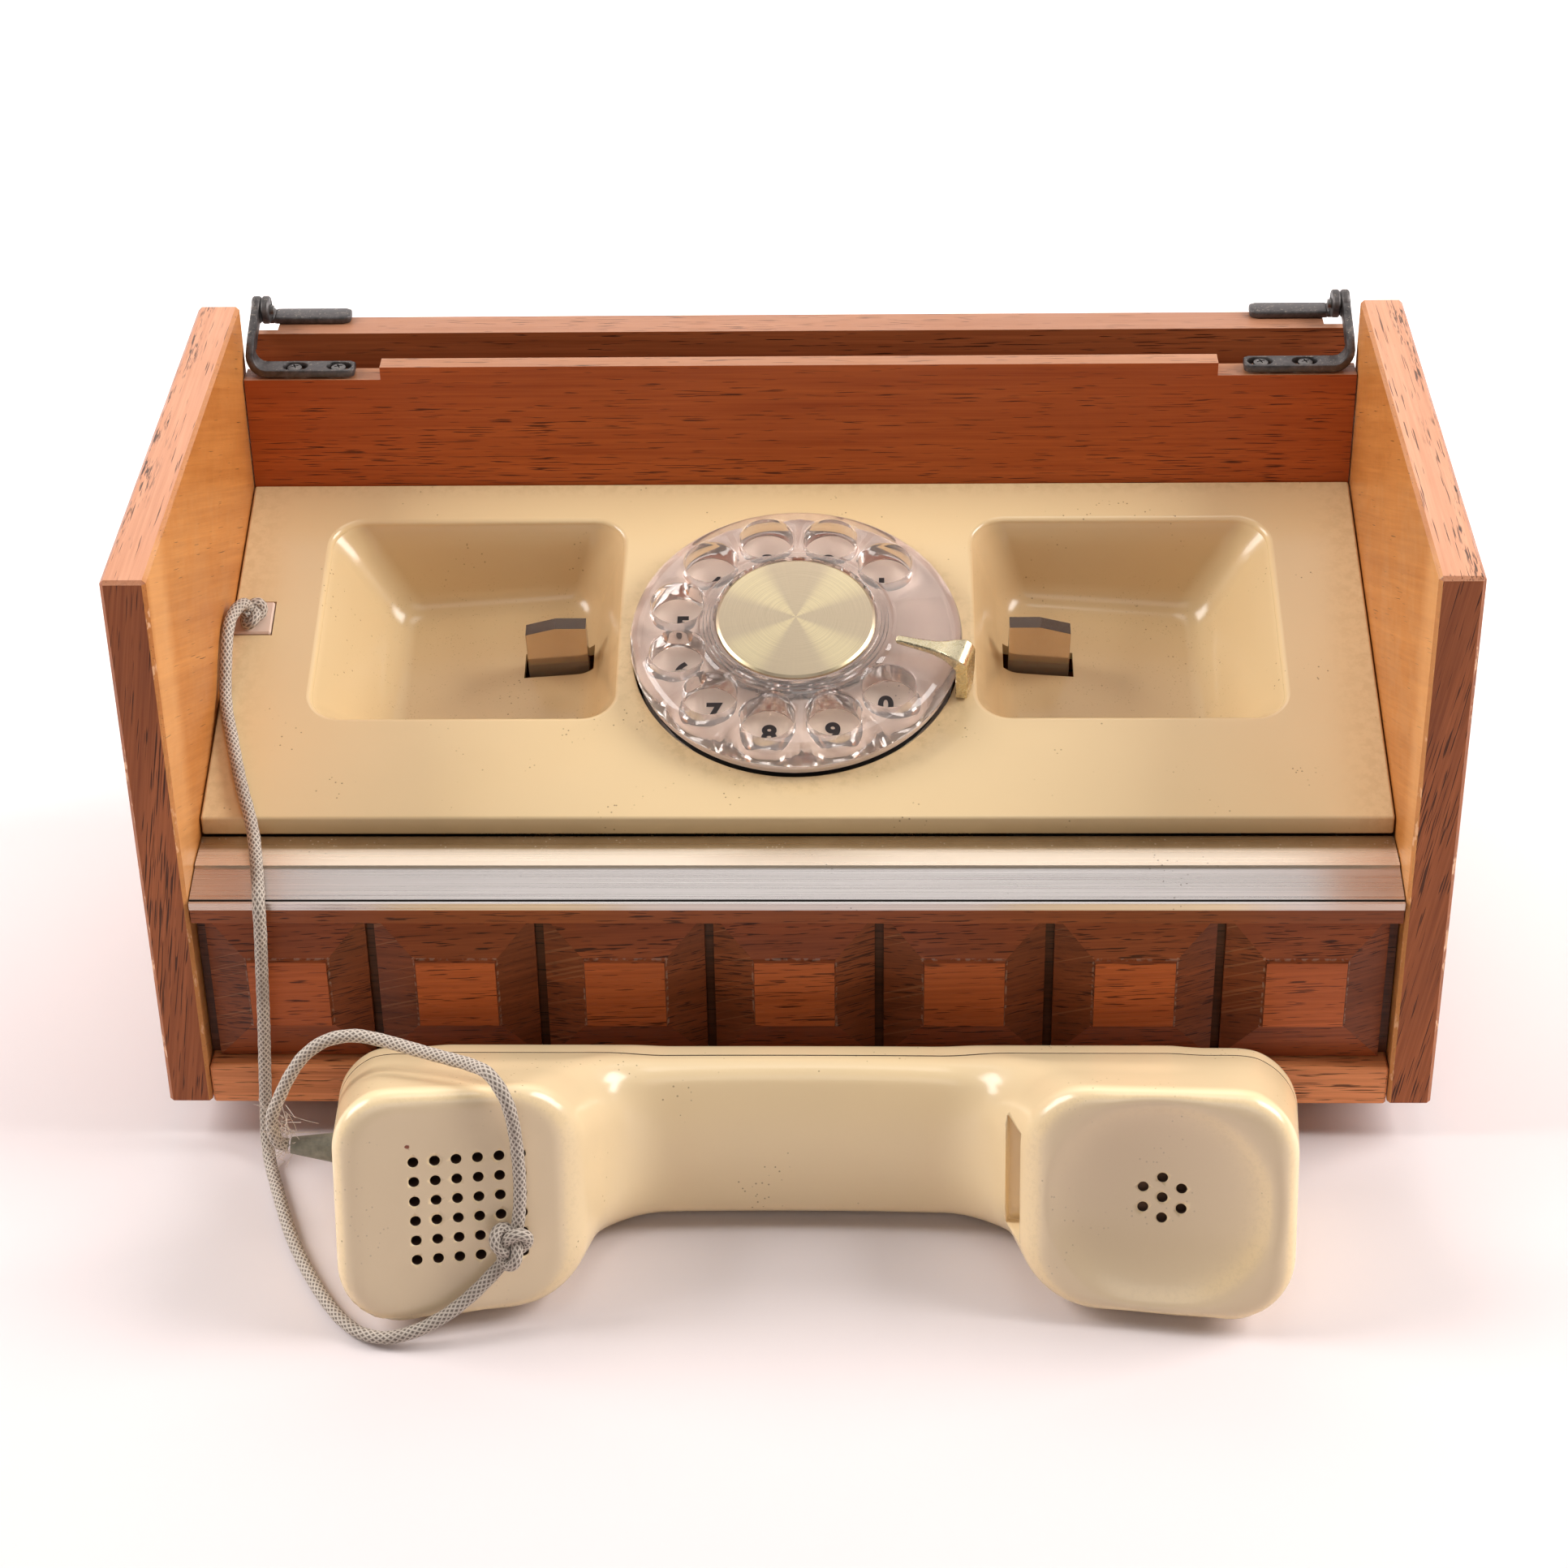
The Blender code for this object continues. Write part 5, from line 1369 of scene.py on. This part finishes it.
def handset_skin():
    """Voxel-remeshed boxes drawn onto the handset's smooth shape."""
    boxes = (((-98, -44), (0, 45), (-24, 24)), ((48, 107), (0, 45), (-24, 24)),
             ((-60, 60), (28.5, 45.5), (-18, 18)))
    rough = None
    for x, y, z in boxes:
        part = block("rough", *(tuple(v * MM for v in pair) for pair in (x, y, z)))
        rough = part if rough is None else boolean(rough, part, "UNION")
    remesh = rough.modifiers.new("remesh", "REMESH")
    remesh.mode, remesh.voxel_size = "VOXEL", 0.00135
    settle(rough)
    mesh = rough.data
    count = len(mesh.vertices)
    flat = np.zeros(count * 3)
    mesh.vertices.foreach_get("co", flat)
    points = flat.reshape(-1, 3) / MM
    edges = np.zeros(len(mesh.edges) * 2, int)
    mesh.edges.foreach_get("vertices", edges)
    a, b = edges.reshape(-1, 2).T
    degree = np.bincount(a, minlength=count) + np.bincount(b, minlength=count)
    points = project(points, 10)
    for _ in range(14):
        total = np.zeros_like(points)
        np.add.at(total, a, points[b])
        np.add.at(total, b, points[a])
        drift = total / degree[:, None] - points
        gradient = slope(points)
        normal = gradient / np.linalg.norm(gradient, axis=1, keepdims=True)
        drift -= (drift * normal).sum(1, keepdims=True) * normal
        points = project(points + drift * 0.6, 2)
    points = project(points, 3)
    points[:, 2] += HANDSET_MIDDLE / MM
    mesh.vertices.foreach_set("co", (points * MM).ravel())
    mesh.update()
    mesh.shade_smooth()
    return mesh, rough


def half_shell(mesh, name, keep_front, materials):
    """One side of the seam, closed where it was cut."""
    shape = bmesh.new()
    shape.from_mesh(mesh)
    level = HANDSET_SEAM + (-0.0003 if keep_front else 0.0003)
    geometry = shape.verts[:] + shape.edges[:] + shape.faces[:]
    bmesh.ops.bisect_plane(shape, geom=geometry, plane_co=(0, level, 0), plane_no=(0, 1, 0),
                           clear_outer=keep_front, clear_inner=not keep_front)
    rim = [e for e in shape.edges if e.is_boundary]
    for face in bmesh.ops.contextual_create(shape, geom=rim, mat_nr=1)["faces"]:
        face.material_index = 1
    bmesh.ops.recalc_face_normals(shape, faces=shape.faces)
    half = bpy.data.meshes.new(name)
    shape.to_mesh(half)
    shape.free()
    return add_object(name, half, HANDSET, materials)


def pin_holes(centre, spots, tilt, dark, depth=0.007):
    """Round cutters standing across a cup's face."""
    shape = bmesh.new()
    face = Matrix.Translation(centre) @ Matrix.Rotation(tilt, 4, "Z")
    upright = Matrix.Rotation(math.pi / 2, 4, "X")
    for x, z in spots:
        bmesh.ops.create_cone(shape, cap_ends=True, segments=20, radius1=0.00114, radius2=0.00114,
                              depth=depth, matrix=face @ Matrix.Translation((x, 0, z)) @ upright)
    mesh = bpy.data.meshes.new("pins")
    shape.to_mesh(mesh)
    shape.free()
    return add_object("pins", mesh, HANDSET, [dark])


def handset():
    plastic = handset_ivory()
    dark = solid("hole_shadow", (0.055, 0.022, 0.010), 0.7, 900.0)
    mesh, rough = handset_skin()
    seam = solid("seam_shadow", (0.16, 0.10, 0.06), 0.7, 900.0)
    front = half_shell(mesh, "handset_front", True, [plastic, seam])
    back = half_shell(mesh, "handset_back", False, [plastic, seam])
    bpy.data.objects.remove(rough)
    pitch = 0.00448
    grid = [((i - 2.5) * pitch, (j - 2.5) * pitch) for i in range(6) for j in range(6)]
    mouth_x = -0.0675
    boolean(front, pin_holes((mouth_x, MOUTH_FACE[0] * MM + MOUTH_FACE[1] * mouth_x, 0.0258), grid,
                             math.atan(MOUTH_FACE[1]), dark), transfer=True)
    flower = [(0.0, 0.0)] + [(0.0046 * math.sin(math.pi / 3 * i), 0.0046 * math.cos(
        math.pi / 3 * i)) for i in range(6)]
    boolean(front, pin_holes((0.0775, 0.0056, 0.0262), flower, math.atan(EAR_FACE[1]), dark),
            transfer=True)
    wall = math.atan2(1.0, 0.30)
    pocket = Matrix.Translation((0.0476, 0.0125, HANDSET_MIDDLE)) @ Matrix.Rotation(
        -(math.pi / 2 - wall), 4, "Z")
    boolean(front, bevelled(block("pocket", (-0.0035, 0.0016), (-0.0068, 0.0062),
                                  (-0.0125, 0.0125), HANDSET @ pocket, [plastic]), 0.0002, 1))
    for piece, node in ((front, "handset_front_shell"), (back, "handset_back_shell")):
        shade(piece, 38.0)
        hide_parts(node)
        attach(piece, "handset")
    # Painted shade: the capsules behind the holes are coloured dark brown so that the holes look
    # dark.
    capsule = solid("capsule_hole_shade", (0.10, 0.045, 0.02), 0.8, 1200.0)
    for name in ("transmitter_capsule", "receiver_capsule"):
        dress(name, capsule)
    dress("strain_relief", solid("relief_rubber", (0.21, 0.20, 0.155), 0.5, 420.0, 0.3, 0.0001),
          0.0002)


handset()


# ---- inside the case -------------------------------------------------------------------------
def inside():
    steel = metal("plated_steel", (0.58, 0.56, 0.53), 0.33, (0.35, 0.30, 0.26))
    brass = metal("gong_brass", (0.74, 0.55, 0.27), 0.25, (0.4, 0.28, 0.15))
    dress("hook_bar", steel, 0.0003)
    dress("switch_contacts", brass, 0.0004)
    dress("gong_left", brass)
    dress("gong_right", brass)
    dress("bell_clapper", brass)
    dress("network_block", solid("network_box", (0.30, 0.30, 0.31), 0.45, 300.0), 0.0005)
    winding = Finish("coil_winding")
    wire = winding.noise(winding.stretch(winding.object, (3500.0, 60.0, 60.0)), 1.0, 2.0)
    dress("ringer_coil", winding.done(winding.mix(wire, (0.20, 0.06, 0.02), (0.42, 0.15, 0.05)),
                                      0.35, winding.bump(wire, 0.0002, 0.7)))


inside()

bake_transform(CORD)

bpy.context.view_layer.update()
